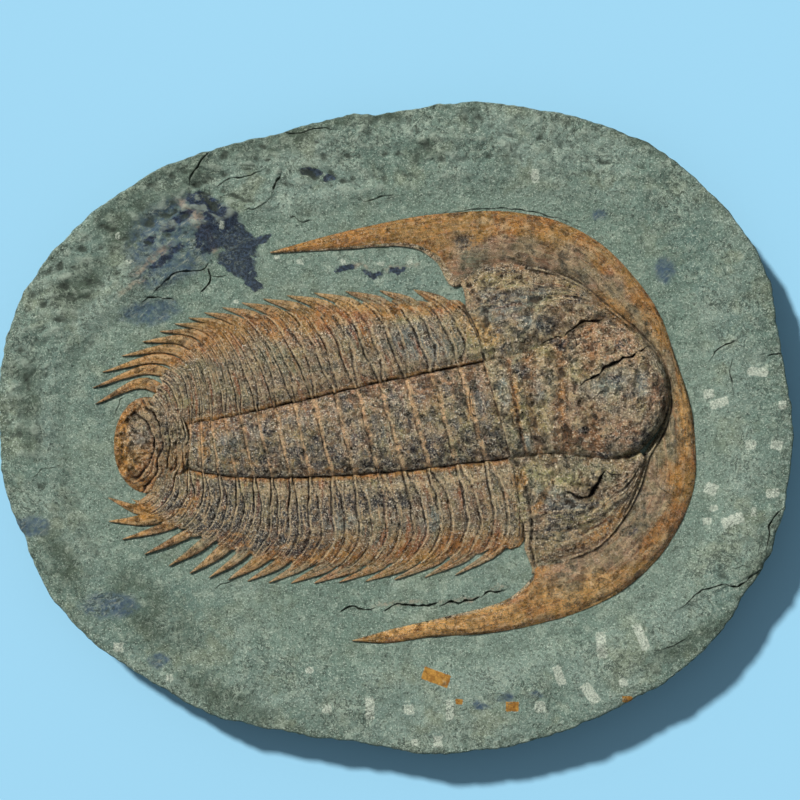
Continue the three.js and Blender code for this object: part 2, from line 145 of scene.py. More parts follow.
# Cheeks from the rear margin forwards: [furrow of the brim x, y, furrow of the glabella x, y]
LEFT_CHEEK = [
    [31, 73, 45, 34], [40, 78.5, 57, 36.5], [51.5, 81, 67, 38.5], [64.5, 80, 77.5, 43],
    [78.5, 76, 89, 48.5], [92, 70.5, 102, 53.5], [104.5, 60.5, 112, 52.5], [116, 50.5, 122, 46.5],
]
RIGHT_CHEEK = [
    [66.5, -67.5, 57.5, -15.5], [75, -66, 66, -14.5], [88.5, -64.5, 79.5, -13.5],
    [102, -57.5, 92, -14.5], [113.5, -44, 104.5, -15.5], [120.5, -29.5, 115, -14.5],
    [125, -16, 122, -12],
]
# Middle lobe of the head from its rear ring forwards: [left x, y, right x, y]
GLABELLA = [
    [44, 33, 57.5, -15], [54.5, 35.5, 64, -14], [62, 37.5, 69, -13.5], [77.5, 43, 81.5, -13],
    [89, 48.5, 93, -14.5], [102, 53.5, 106.5, -15.5], [117, 50.5, 117, -13.5], [127, 41, 126, -6.5],
    [133, 32, 132.5, 2], [136.5, 22.5, 136.5, 11.5],
]
# Cross furrows of the middle lobe: [place along it, half width, depth, how much runs over the top]
CROSS_FURROWS = [
    [0.115, 0.018, 0.2, 1], [0.235, 0.028, 0.3, 0.7], [0.36, 0.028, 0.28, 0.55],
    [0.49, 0.03, 0.18, 0.4],
]
# Crest of each eye lobe, a crescent from its rear end forwards
LEFT_EYE = [[68.5, 47], [69, 55.8], [75.2, 58], [81, 55], [85.5, 49.8]]
RIGHT_EYE = [[83.2, -28], [90.2, -30.5], [95.5, -30], [99.8, -26], [103, -19.5]]
TAIL_X, TAIL_Y, TAIL_HALF_LENGTH, TAIL_HALF_WIDTH = -124.5, -8.5, 16.5, 24

# Cracks, by their places in the 800-pixel view: [width and depth in millimetres, line]. They bend
# at about every so many millimetres
CRACK_BEND = 2.6
FOSSIL_CRACKS = [
    [0.7, 1.2, [(538, 346), (550, 341), (558, 337), (566, 335)]],
    [2.6, 4.0, [(564, 336), (573, 328), (583, 322), (593, 321), (602, 319)]],
    [1.9, 3.0, [(578, 386), (588, 379), (598, 372), (610, 364), (628, 357), (649, 346)]],
    [0.6, 1.2, [(572, 331), (575, 342), (573, 352), (566, 362)]],
    [0.5, 1.0, [(579, 399), (590, 397), (603, 392), (618, 391)]],
    [2.6, 3.6, [(565, 491), (576, 496), (586, 497), (594, 490), (600, 478), (605, 470)]],
    [0.9, 1.5, [(604, 470), (609, 474), (622, 474)]],
    [0.5, 0.9, [(695, 493), (684, 494), (674, 496), (663, 490), (655, 482), (648, 472)]],
    [0.6, 1.0, [(628, 360), (634, 372), (640, 380)]],
    [0.5, 1.0, [(548, 560), (560, 559), (577, 556)]],
    [0.6, 1.2, [(478, 372), (470, 392), (472, 414), (478, 436)]],
    [0.5, 1.0, [(508, 408), (512, 424), (522, 436)]],
]
MATRIX_CRACKS = [
    [1.3, 2.5, [(153, 293), (162, 284), (172, 275), (186, 271), (203, 269), (209, 261)]],
    [1.2, 2.5, [(207, 268), (211, 276), (208, 285), (200, 293)]],
    [0.8, 2.0, [(210, 276), (218, 277), (227, 274)]],
    [1.2, 2.0, [(140, 303), (147, 299), (157, 297), (175, 300)]],
    [2.0, 3.0, [(280, 172), (277, 180), (274, 191)]],
    [1.4, 2.2, [(188, 190), (190, 178), (195, 168), (203, 158), (213, 149)]],
    [0.9, 1.6, [(212, 189), (226, 180), (240, 178), (252, 175), (264, 170)]],
    [0.8, 1.4, [(243, 212), (255, 208), (266, 202), (273, 196)]],
    [0.9, 1.5, [(285, 222), (293, 217), (303, 221), (316, 219)]],
    [0.8, 1.4, [(355, 196), (366, 201), (383, 196), (398, 195)]],
    [0.8, 1.5, [(276, 133), (300, 132), (320, 128), (342, 131)]],
    [1.0, 2.0, [(785, 507), (776, 514), (770, 523), (768, 538), (765, 556)]],
    [1.3, 2.5, [(679, 609), (690, 600), (699, 591), (712, 588),
                (724, 584), (737, 587), (750, 577), (764, 568)]],
    [0.8, 1.5, [(732, 569), (742, 565), (752, 567)]],
    [0.7, 1.4, [(651, 650), (664, 648), (678, 642), (695, 633)]],
    [1.5, 2.4, [(340, 612), (354, 606), (364, 609), (376, 608)]],
    [2.2, 3.0, [(384, 611), (393, 606), (403, 604), (414, 606), (426, 607), (438, 602)]],
    [2.0, 2.8, [(439, 606), (450, 602), (459, 602), (470, 601), (480, 596)]],
    [1.8, 2.6, [(481, 596), (490, 590), (498, 592), (508, 588)]],
    [0.7, 1.4, [(425, 221), (440, 215), (460, 211), (485, 209),
                (510, 209), (535, 213), (560, 219), (585, 229)]],
    [0.7, 1.4, [(213, 590), (225, 583), (236, 580)]],
    [0.6, 1.2, [(125, 396), (119, 404), (115, 414)]],
    [0.6, 1.2, [(30, 480), (44, 470), (60, 466)]],
    [1.1, 2.0, [(708, 364), (715, 353), (725, 345), (737, 339)]],
    [0.8, 1.5, [(734, 350), (731, 364), (731, 380), (734, 398)]],
    [0.8, 1.5, [(766, 357), (775, 354), (784, 354)]],
]

# Spots by their places in the 800-pixel view: (x, y, length, width, degrees)
# Ragged stains of the slab and of the fossil: mark, [how far out one fades away, and how far in it
# is at its fullest, both in half sizes, and the spots]
SLAB_STAINS = {
    "Blue": [1.15, 0.7, [
        (172, 238, 100, 76, 35), (205, 215, 70, 40, -20), (160, 268, 60, 40, 20),
        (150, 312, 64, 26, 10), (175, 250, 90, 60, 30), (32, 526, 40, 22), (600, 215, 14, 10),
        (665, 270, 22, 26), (480, 705, 16, 8), (505, 697, 14, 8), (535, 694, 12, 7),
        (160, 660, 24, 16), (110, 605, 60, 26),
    ]],
    "Ink": [1.15, 0.6, [
        (207, 204, 36, 20, -30), (224, 224, 44, 34, -45), (240, 246, 40, 34, -60),
        (246, 268, 30, 22, -80), (232, 262, 30, 20, -30), (205, 238, 22, 34),
        (176, 222, 40, 10, 35), (168, 256, 44, 9, 40), (200, 203, 28, 20, -20),
        (226, 232, 36, 40, -30), (240, 262, 30, 26, -50), (253, 284, 14, 12, -60),
        (262, 240, 22, 9, 25), (310, 172, 22, 10, -10), (345, 268, 20, 6, 10),
        (372, 274, 22, 7, -10), (398, 270, 20, 6, 15), (330, 178, 14, 8), (150, 240, 20, 8, 50),
        (256, 286, 14, 8),
    ]],
    "Beige": [1.2, 0.4, [
        (400, 603, 60, 5, 5), (460, 600, 50, 5, 8), (498, 588, 24, 4, 10), (199, 222, 62, 16, -54),
        (186, 206, 30, 10, -40), (212, 246, 26, 9, -70), (150, 262, 60, 8, 40),
        (135, 285, 40, 8, 35), (400, 268, 40, 6, 10), (360, 266, 30, 5, -8),
    ]],
    "Brown": [1.2, 0.4, [
        (170, 190, 150, 60, 38), (80, 280, 90, 50, 55), (270, 140, 130, 40, 16), (30, 400, 30, 130),
        (360, 118, 120, 20, 4), (120, 230, 60, 60), (690, 640, 120, 24, 30), (420, 150, 60, 30),
        (150, 610, 130, 60, -40), (230, 700, 120, 30, -25), (60, 560, 40, 80, 30),
        (760, 560, 30, 80, -15), (640, 140, 90, 20, -30),
    ]],
    "Teal": [1.2, 0.3, [
        (100, 400, 50, 90), (690, 250, 60, 90, -30), (320, 180, 60, 40), (150, 312, 70, 40),
        (400, 285, 110, 30), (190, 600, 120, 40, -15), (730, 330, 40, 90, -20), (720, 560, 60, 50),
        (520, 600, 60, 30),
    ]],
}
FOSSIL_STAINS = {
    "Stain": [1.2, 0.5, [
        (556, 516, 30, 16, 60), (566, 527, 26, 10, -10), (590, 505, 30, 12, 20),
        (636, 445, 26, 10, -50), (605, 455, 30, 8, -10), (495, 330, 16, 10), (575, 298, 24, 8, 20),
        (478, 420, 14, 20), (268, 432, 14, 10), (318, 442, 16, 14), (467, 245, 30, 22, -30),
        (545, 325, 26, 22), (505, 349, 16, 10), (618, 345, 11, 9), (521, 370, 20, 16),
        (612, 380, 18, 10, 20), (628, 395, 14, 9), (583, 430, 12, 12), (470, 435, 12, 10),
        (562, 510, 50, 22, -10), (425, 448, 44, 30, 10), (330, 455, 26, 26), (296, 455, 22, 24),
        (262, 458, 18, 16), (232, 452, 14, 14), (372, 462, 30, 16), (405, 420, 24, 16),
        (305, 548, 60, 22, 10), (500, 270, 44, 10, -6), (350, 330, 16, 14), (545, 532, 22, 16),
        (634, 530, 14, 10), (500, 300, 24, 20), (640, 440, 12, 24, -40), (300, 516, 90, 30, 8),
        (270, 540, 110, 26, 10), (350, 500, 60, 30), (225, 515, 90, 60, 10), (225, 500, 80, 50),
        (230, 512, 90, 36, 15), (560, 345, 30, 12, -20), (390, 500, 60, 24), (165, 440, 12, 50),
        (176, 500, 30, 24),
    ]],
    "Orange": [1.2, 0.4, [
        (612, 520, 60, 12, 42), (592, 540, 50, 8, 20), (540, 500, 40, 8, 60), (470, 400, 10, 50),
        (515, 400, 8, 60), (560, 400, 8, 50), (240, 462, 40, 8), (330, 470, 60, 7, 4),
        (212, 420, 26, 16), (205, 440, 14, 50), (250, 250, 60, 14, 6), (300, 246, 70, 14, 4),
        (360, 236, 60, 16, 10), (600, 232, 60, 12, -25), (680, 400, 16, 60), (675, 478, 28, 46, 25),
        (530, 610, 70, 16, 6), (420, 628, 110, 14, 4), (125, 370, 70, 40, -30),
        (150, 350, 60, 30, -30), (125, 525, 70, 60, 30), (125, 440, 12, 70), (142, 492, 40, 30, 30),
        (190, 505, 50, 20, 30), (520, 228, 50, 14, -4), (683, 430, 18, 120), (655, 330, 20, 60, 30),
        (614, 310, 60, 20, -40), (640, 300, 40, 20, -50), (365, 335, 14, 40, 20),
        (520, 480, 16, 30),
    ]],
    "Blue": [1.2, 0.5, [
        (602, 386, 60, 28, 15), (476, 388, 18, 34), (504, 392, 16, 40), (521, 374, 14, 22),
        (536, 392, 16, 34), (530, 322, 40, 18, -10), (530, 440, 26, 22), (560, 500, 60, 20, -20),
        (634, 505, 22, 30, -30), (640, 385, 16, 30), (420, 345, 80, 44, -15),
        (510, 305, 80, 30, 20), (396, 400, 30, 24), (340, 405, 26, 24), (300, 420, 20, 20),
        (260, 430, 20, 20), (420, 350, 24, 20), (490, 300, 30, 24), (143, 435, 16, 26),
        (230, 440, 20, 16), (430, 520, 30, 30), (340, 520, 40, 24),
    ]],
    "Pale": [1.3, 0.4, [
        (570, 602, 100, 34, -8), (430, 630, 150, 24, 4), (440, 630, 100, 20, 4),
        (500, 614, 60, 24, -4), (600, 585, 50, 30, -30), (686, 400, 16, 130),
        (480, 330, 24, 50, 60), (330, 300, 120, 14, -12),
    ]],
    "Pink": [1.2, 0.7, [
        (607, 342, 74, 46, -25), (655, 392, 26, 40), (578, 440, 60, 22), (470, 300, 26, 20),
        (625, 432, 40, 26), (600, 545, 60, 44, -40), (548, 250, 130, 26, 16),
        (610, 280, 60, 20, 45), (360, 380, 60, 12, -12), (300, 340, 70, 16, -12),
        (440, 300, 30, 30, 60), (150, 455, 30, 40),
    ]],
    "Olive": [1.2, 0.5, [
        (590, 382, 80, 18, -25), (530, 418, 44, 44), (480, 340, 34, 50), (556, 478, 70, 14, -10),
        (575, 520, 60, 22, -20), (500, 280, 60, 24), (545, 300, 60, 16, 20),
        (545, 352, 40, 14, -20), (455, 445, 24, 24), (180, 400, 40, 16, -20), (168, 450, 12, 50),
        (520, 510, 14, 60), (440, 400, 20, 40), (400, 310, 60, 24, -12), (250, 490, 20, 30),
    ]],
    "Green": [1.3, 0.4, [
        (330, 568, 130, 16, 4), (440, 573, 130, 14, -3), (240, 556, 70, 16, 14),
        (470, 562, 60, 20, -8), (200, 545, 50, 12, 25), (380, 300, 120, 8, -4),
        (470, 258, 20, 40, 40),
    ]],
}
# Bruises of the chisel and rusty flakes, as slanting rectangles
SLAB_SQUARES = {
    "Bruise": [
        (709, 394, 11, 9), (719, 403, 19, 9, 20), (782, 405, 8, 9), (750, 445, 11, 10),
        (776, 445, 12, 10, -10), (711, 489, 13, 12, -20), (772, 493, 14, 9, 8),
        (732, 520, 23, 11, 20), (753, 512, 5, 9), (707, 521, 9, 7), (714, 508, 8, 7),
        (757, 372, 21, 9, -4), (535, 176, 8, 14), (641, 637, 9, 28, 22), (601, 645, 10, 26, 4),
        (559, 675, 9, 20, 20), (590, 693, 11, 23, 35), (623, 682, 9, 9, 15), (540, 706, 11, 11),
        (450, 709, 8, 20), (438, 741, 9, 12), (409, 709, 10, 10), (415, 742, 7, 7),
        (370, 708, 9, 22), (327, 708, 10, 9), (310, 670, 8, 7), (119, 647, 10, 10),
        (170, 677, 7, 6), (300, 262, 7, 5), (343, 262, 6, 5), (381, 264, 8, 4),
        (410, 262, 6, 4, 30), (277, 257, 6, 4), (222, 225, 5, 9), (236, 302, 7, 4),
        (130, 262, 7, 4), (118, 236, 4, 7),
    ],
    "Flake": [
        (436, 677, 28, 13, -20), (459, 701, 7, 6), (512, 706, 13, 10), (627, 699, 10, 7),
    ],
}

# What each point of the fossil knows about its place, for the material
MARKS = ["Segment", "Furrow", "Rib", "Ring", "Rust", "Brim", "Across", "Along", "Fold"]


# Numbers and noise

def from_view(px, py):
    """A place in the 800-pixel view, in millimetres."""
    return (px - VIEW_ORIGIN[0]) / PIXELS_PER_MM, (VIEW_ORIGIN[1] - py) / PIXELS_PER_MM


def ease(low, high, value):
    """From 0 to 1, easing in between two limits."""
    u = np.clip((np.asarray(value, float) - low) / (high - low), 0, 1)
    return u * u * (3 - 2 * u)


def bump(value, place, half_width):
    """A smooth bump of height 1 at a place, and almost nothing beyond its half width."""
    return np.exp(-(((value - place) / half_width) ** 2))


def curve_at(places, knots, at):
    """A smooth curve through knots, read at each value of at. Knots may differ for each value."""
    places, knots = np.asarray(places, float), np.asarray(knots, float)
    last = len(places) - 1
    k = np.clip(np.searchsorted(places, at) - 1, 0, last - 1)
    own = np.arange(len(at))

    def knot(index):
        return knots[index, own] if knots.ndim == 3 else knots[index]

    before, after = np.maximum(k - 1, 0), np.minimum(k + 2, last)
    span = (places[k + 1] - places[k])[:, None]
    u = (at - places[k])[:, None] / span
    start_slope = (knot(k + 1) - knot(before)) / (places[k + 1] - places[before])[:, None]
    end_slope = (knot(after) - knot(k)) / (places[after] - places[k])[:, None]
    pull = (2 * u**3 - 3 * u**2 + 1) * knot(k) + (3 * u**2 - 2 * u**3) * knot(k + 1)
    return pull + span * ((u**3 - 2 * u**2 + u) * start_slope + (u**3 - u**2) * end_slope)


def corner_angle(ix, iy, seed):
    """A repeatable direction for each corner of a square lattice."""
    n = (ix * 374761393 + iy * 668265263 + seed * 974634777) & 0xFFFFFFFF
    n = ((n ^ (n >> 13)) * 1274126177) & 0xFFFFFFFF
    n = n ^ (n >> 16)
    return (n & 0xFFFF) * (2 * math.pi / 65536)


def noise(x, y, size, seed):
    """Smooth noise between about -1 and 1, with features of that size."""
    x, y = np.asarray(x, float) / size, np.asarray(y, float) / size
    ix, iy = np.floor(x).astype(np.int64), np.floor(y).astype(np.int64)
    fx, fy = x - ix, y - iy
    ux, uy = fx**3 * (fx * (fx * 6 - 15) + 10), fy**3 * (fy * (fy * 6 - 15) + 10)

    def pull(dx, dy):
        angle = corner_angle(ix + dx, iy + dy, seed)
        return np.cos(angle) * (fx - dx) + np.sin(angle) * (fy - dy)

    low = pull(0, 0) * (1 - ux) + pull(1, 0) * ux
    high = pull(0, 1) * (1 - ux) + pull(1, 1) * ux
    return 1.5 * (low * (1 - uy) + high * uy)


def rough(x, y, size, octaves, seed):
    """Noise of several sizes on top of each other, each half the last."""
    total = 0
    for octave in range(octaves):
        total = total + 0.5**octave * noise(x, y, size / 2**octave, seed + octave)
    return total


def terraces(height, step, riser):
    """Turns a smooth height into flat treads with short steep risers."""
    level = np.floor(height / step)
    return step * (level + ease(1 - riser, 1, height / step - level))


# Forms of the fossil. Each is a grid of points: places in x and y, and a rise above its base

def thorax_point(guides, i, s):
    """Where a place of the thorax lies: segment boundary i, and reach s out to a spine tip."""
    knots = np.stack([curve_at(GUIDE_BOUNDARIES, line, i) for line in guides])
    return curve_at(GUIDE_REACH, knots, s)


def towards_tail(i):
    return 1 - 0.42 * ease(6, SEGMENTS, i)


def furrow_place(s):
    """The slanting furrow of a rib starts at its inner rear corner and runs to its middle."""
    return 0.95 - 0.43 * ease(-0.12, 0.3, s)


def wavy(i, x, y):
    """The boundaries of the segments wander a little."""
    return i + 0.07 * rough(x, y, 12, 3, 141)


def pleura_rise(i, s, x, y, deeper):
    """Rise of a rib: two bands, each with a sharp rear edge and a narrow groove behind it."""
    i = wavy(i, x, y)
    f = i - np.floor(i)
    furrow = furrow_place(s)
    kept = 0.75 + 0.9 * noise(x, y, 7, 151)
    deep = 0.75 + 0.9 * noise(x, y, 9, 155) + deeper * (1 - ease(0.12, 0.34, s)) * ease(4, 9, i)
    fade = 1 - 0.6 * ease(0.42, 0.66, s)
    grooves = deep * (0.13 * (bump(f, 0, 0.04) + bump(f, 1, 0.04)) + 0.11 * bump(f, furrow, 0.035))
    edges = kept * (0.09 * bump(f, 0.92, 0.03) + 0.07 * bump(f, furrow - 0.07, 0.028))
    slopes = 0.06 * np.where(f < furrow, f / furrow, (f - furrow) / (1 - furrow))
    arch = 0.5 + 0.5 * ease(0, 0.13, s) - 0.84 * ease(0.34, 0.8, s)
    at_knot = bump(f, 0.95, 0.1)
    furrow_line = s + 0.006 * noise(x, y, 6, 157)
    axial_furrow = 0.26 * bump(furrow_line, 0, 0.012) * (1 - 0.8 * at_knot)
    axial_furrow = axial_furrow - 0.06 * bump(furrow_line, 0.026, 0.012)
    uneven = np.clip(0.9 + 1.2 * noise(x, y, 8, 159), 0.2, 1.5)
    axial_furrow = axial_furrow * (1 - ease(13.5, 16, i)) * uneven
    knots = 0.13 * bump(s, 0.012, 0.03) * at_knot
    relief = arch * (0.94 + fade * (edges + slopes - grooves)) - axial_furrow + knots
    return PLEURA_RISE * towards_tail(i) * relief


def axis_rise(i, w, x, y):
    """Rise of the axis: a rounded arch of rings, each with a raised rear edge."""
    i = wavy(i, x, y)
    f = i - np.floor(i)
    kept = 0.75 + 1.1 * noise(x, y, 7, 151)
    ring = 0.9 + 0.035 * ease(0.1, 0.8, f) + 0.04 * kept * bump(f, 0.9, 0.05)
    ring = ring - 0.07 * kept * (bump(f, 0, 0.04) + bump(f, 1, 0.04)) - 0.04 * bump(f, 0.25, 0.14)
    sides = np.abs(2 * w - 1)
    pits = 0.16 * bump(sides, 0.86, 0.1) * bump(f, 0.1, 0.12)
    pits = pits + 0.16 * bump(w, 0.86, 0.12) * bump(f, 0.25, 0.2)
    arch = np.sqrt(np.clip(1 - sides**2.2, 0, 1))
    sinking = ease(13.5, 17, i)
    arch = arch + sinking * (0.42 - arch)
    edge = 1.3
    return (edge + (AXIS_RISE - edge) * arch * (ring - pits * (1 - sinking))) * towards_tail(i)


def worn(x, y, amount):
    """The uneven, slightly broken skin that all the forms share."""
    flakes = terraces(0.8 * rough(x, y, 11, 4, 13), 0.34, 0.3)
    return amount * (0.5 * flakes + 0.2 * rough(x, y, 5, 3, 11) + 0.24 * rough(x, y, 2.2, 2, 21))


def grid(along, across):
    """Two flat arrays with every pair of the two, and the shape to fold them back."""
    a, b = np.meshgrid(along, across, indexing="ij")
    return a.ravel(), b.ravel(), a.shape


def rounded_places(low, high, count):
    """Places from side to side of a rounded form, closer together at its steep sides."""
    return 0.5 - 0.5 * np.cos(np.linspace(low, high, count) * math.pi)


def aside_of(ahead):
    """Unit vectors a quarter turn to the left of some directions."""
    ahead = ahead / np.hypot(*ahead.T)[:, None]
    return np.stack([-ahead[:, 1], ahead[:, 0]], axis=-1)


def form(x, y, rise, shape, **marks):
    """Folds flat arrays into a grid of points, with the marks that each point carries."""
    rise = np.maximum(rise, 0.25)
    points = np.stack([x, y, FOSSIL_BASE + rise], axis=-1).reshape(*shape, 3)
    marks = {"Across": x, "Along": y, **marks}
    values = [np.broadcast_to(marks.get(name, 0), x.shape) for name in MARKS]
    return points, np.stack(values, axis=-1).reshape(-1, len(MARKS))


def thorax_plate():
    """The ribs and rings of the thorax out to its margin, as one sheet of relief."""
    steps = [0, 0.035, 0.07, 0.12, 0.19, 0.27, 0.35, 0.4, 0.45, 0.49, 0.53, 0.58, 0.66, 0.75, 0.81,
             0.86, 0.91, 0.955]
    boundaries = [-0.25, -0.12] + [k + step for k in range(SEGMENTS) for step in steps]
    boundaries += [SEGMENTS, SEGMENTS + 0.2, SEGMENTS + 0.4]
    ribs = np.concatenate([[0, 0.008, 0.016, 0.026, 0.038, 0.055], np.linspace(0.08, 0.76, 36)])
    sheets = []
    for guides, places, wider, deeper in (
        (LEFT_GUIDES, ribs[::-1], -0.1, 0.3),
        (RIGHT_GUIDES, ribs, 0.2, 1.5),
    ):
        i, s, shape = grid(boundaries, places)
        wander = 0.07 * noise(i * 3, 0 * i, 1, 161) * ease(0.4, 0.7, s)
        s = s * (1 - 0.2 * ease(7, 14, i) + wider * ease(15.5, 17, i) + wander)
        x, y = thorax_point(guides, i, s).T
        rise = pleura_rise(i, s, x, y, deeper) + worn(x, y, 0.8) * ease(0, 0.1, s)
        segment = wavy(i, x, y)
        rust = 0.85 * ease(0.36, 0.72, s + 0.16 * noise(x, y, 16, 163)) + 0.8 * ease(0.07, 0.01, s)
        columns = [x, y, rise, i, segment, segment + 1 - furrow_place(s), 0 * s + 1, 0 * s, rust,
                   s * RIB_LENGTH]
        sheets.append([column.reshape(shape) for column in columns])
    i, w, shape = grid(boundaries, rounded_places(0.03, 0.97, 40))
    left, right = thorax_point(LEFT_GUIDES, i, 0 * i), thorax_point(RIGHT_GUIDES, i, 0 * i)
    x, y = (left + (right - left) * w[:, None]).T
    rise = axis_rise(i, w, x, y) + worn(x, y, 1.2)
    columns = [x, y, rise, i, wavy(i, x, y), 0 * w + 0.4, 0 * w, 0 * w + 1, 0 * w, w * AXIS_WIDTH]
    sheets.insert(1, [column.reshape(shape) for column in columns])
    joined = [np.concatenate(parts, axis=1) for parts in zip(*sheets)]
    shape = joined[0].shape
    x, y, rise, i, segment, furrow, rib, ring, rust, along = (part.ravel() for part in joined)
    rise = rise * np.where(i < 0, 0.4, 1)
    return form(x, y, rise, shape, Segment=segment, Furrow=furrow, Rib=rib, Ring=ring, Rust=rust,
                Across=i * SEGMENT_LENGTH, Along=along)


def rib_spine(guides, segment):
    """One free spine: a sickle-shaped blade from the bend of the rib out to its tip."""
    start = 0.4
    u, side, shape = grid(np.linspace(0, 1, 30), [-1, -0.8, -0.5, -0.25, 0, 0.2, 0.5, 0.8, 1])
    s = start + (1 - start) * u
    middle = np.full(len(u), segment + 0.5)
    centre = thorax_point(guides, middle, s)
    ahead = thorax_point(guides, middle, s + 0.004) - thorax_point(guides, middle, s - 0.004)
    tailwards = aside_of(ahead) * (1 if guides is LEFT_GUIDES else -1)
    rear = ease(7, 13, middle)
    own = noise(np.array([segment * 3.7]), np.array([guides[0][0][0]]), 1, 171)[0]
    leaf = (0.78 + 0.3 * bump(u, 0.5, 0.28)) * (1 - u**2.4) ** 0.85
    front = 1 - ease(5, 11, middle)
    low_side = front if guides is RIGHT_GUIDES else 0 * front
    half_width = (SPINE_HALF_WIDTH - 0.6 * rear + 0.6 * front) * (1 + 0.3 * own) * leaf + 0.12
    x, y = (centre + tailwards * (side * half_width)[:, None]).T
    crest = 0.35 + 0.65 * np.sqrt(1 - np.abs(side) ** 2.2 * 0.98) + 0.14 * bump(side, -0.15, 0.15)
    crest = crest - 0.16 * bump(side, 0.4, 0.2) * (1 - u)
    along = ease(0, 0.35, u) * (1 - 0.5 * u**1.5)
    height = 0.55 + 0.45 * rear - 0.25 * low_side
    rise = 0.35 + SPINE_RISE * height * along * crest * towards_tail(middle)
    rise = rise + worn(x, y, 0.7) * (1 - u)
    return form(x, y, rise, shape, Segment=middle + 0.43 + 0.4 * (side + 0.15), Furrow=0.4,
                Rib=0.7 * (1 - rear * u), Rust=0.5 + 0.4 * u + 0.5 * rear,
                Across=middle * SEGMENT_LENGTH + side * 2.5, Along=s * RIB_LENGTH)


def tail_shield():
    """The rounded tail plate: a low rim, a broken boss, and the last ribs bent round it."""
    r, w, shape = grid(np.linspace(0.03, 0.97, 84), np.linspace(0, 1, 80))
    x = TAIL_X - TAIL_HALF_LENGTH * np.cos(math.pi * r) * np.where(r > 0.5, 1.3, 1)
    y = TAIL_Y + TAIL_HALF_WIDTH * np.sin(math.pi * r) * (1 - 2 * w)
    dx, dy = x - TAIL_X, y - TAIL_Y
    away = np.hypot(dx / TAIL_HALF_LENGTH, dy / TAIL_HALF_WIDTH)
    around = np.hypot(dx + 5, 0.55 * dy) + 1.7 * rough(x, y, 12, 2, 5)
    ribbed = ease(6, 9, around) * ease(-9, -2, dx)
    boss = bump(x, TAIL_X - 4, 6.5) * bump(y, TAIL_Y + 1, 12)
    segment = SEGMENTS + (24 - around) / 3.8
    f = segment - np.floor(segment)
    ribs = 0.9 * bump(f, 0.82, 0.16) - 1.4 * (bump(f, 0, 0.12) + bump(f, 1, 0.12))
    joined = ease(0, 12, dx)
    fall = np.sqrt(np.clip(1 - away**2, 0, 1))
    rise = TAIL_RISE * (0.62 * fall + joined * (0.6 - 0.62 * fall) + 0.3 * boss)
    rise = rise - 1.6 * ease(14, 21, np.abs(dy)) * joined
    rim_line = 0.9 * bump(away + 0.05 * noise(x, y, 9, 15), 0.74, 0.06) * ease(4, -4, dx)
    rise = 0.7 + rise + ribbed * ribs - rim_line + 0.9 * rough(x, y, 9, 3, 7) + worn(x, y, 2.4)
    rust = 0.25 + 0.6 * ease(0.6, 0.9, away) * ease(6, -2, dx) + 0.4 * ease(-4, -16, y)
    return form(x, y, rise, shape, Segment=segment, Furrow=segment + 0.45, Rib=ribbed,
                Rust=np.clip(rust, 0, 1), Across=around * 2, Along=np.arctan2(dy, dx) * 14)


def band(edges, along, across):
    """Points between two edges, along the band and across it."""
    places = np.linspace(0, 1, len(edges))
    ax, ay, bx, by = curve_at(places, edges, along).T
    return ax + (bx - ax) * across, ay + (by - ay) * across, np.hypot(bx - ax, by - ay)


def head_border():
    """The brim: a broad convex band, a cord along its inner furrow, and two long spines."""
    outer = [0, 0.015, 0.035, 0.06]
    inner = [0.87, 0.9, 0.925, 0.945, 0.96, 0.975, 0.99, 1.005, 1.02, 1.04, 1.07]
    across = np.concatenate([outer, np.linspace(0.09, 0.84, 17), inner])
    a, w, shape = grid(np.linspace(0, 1, 330), across)
    x, y, width = band(BORDER, a, w)
    places, shares = np.array(BORDER_PROFILE, float).T
    profile = curve_at(places, shares[:, None], w)[:, 0]
    spine = ease(0, 0.22, a) * ease(0, 0.22, 1 - a)
    size = 0.3 + 0.7 * spine
    furrow = (w - 0.985) * width
    cord = 1.1 * bump(furrow, 0, 0.5) - 1.1 * bump(furrow, 1.2, 0.7) - 0.6 * bump(furrow, -1.2, 0.6)
    rise = BORDER_RISE * profile * size + cord * ease(0.2, 0.3, a) * ease(0.2, 0.3, 1 - a)
    reach, run = w * width, a * BRIM_LENGTH
    folds = 1 - 2.4 * np.abs(noise(reach + 26 * (a - 0.5) ** 2, run / 14, 4.2, 9))
    folds = folds + 0.6 * (1 - 2.4 * np.abs(noise(reach, run / 9, 2.2, 19)))
    skin = 0.42 * folds * ease(0.94, 0.8, w) + 0.5 * rough(x, y, 16, 2, 3) + worn(x, y, 0.8)
    rise = rise + skin * size * ease(0, 0.1, w)
    outer_rust = 1 - 0.85 * ease(0.2, 0.6, w + 0.25 * noise(x, y, 16, 23))
    rust = np.clip(np.maximum(ease(0.2, 0.1, a) + ease(0.7, 0.82, a), outer_rust), 0, 1)
    segment = reach / 4.6 + 0.7 * noise(x, y, 30, 27) + 6 * (a - 0.5) ** 2
    on_brim = w < 0.93
    return form(x, y, rise, shape, Segment=segment, Furrow=0.4, Rib=np.where(on_brim, 0.45, 0),
                Rust=np.where(on_brim, rust, 0.15), Brim=np.where(on_brim, 1, 0), Across=reach,
                Along=run)


def away_from(line, x, y):
    """Distance from each point to a line of straight stretches."""
    nearest = np.full(np.shape(x), 1e9)
    for (ax, ay), (bx, by) in zip(line, line[1:]):
        dx, dy = bx - ax, by - ay
        u = np.clip(((x - ax) * dx + (y - ay) * dy) / (dx * dx + dy * dy), 0, 1)
        nearest = np.minimum(nearest, np.hypot(x - ax - u * dx, y - ay - u * dy))
    return nearest


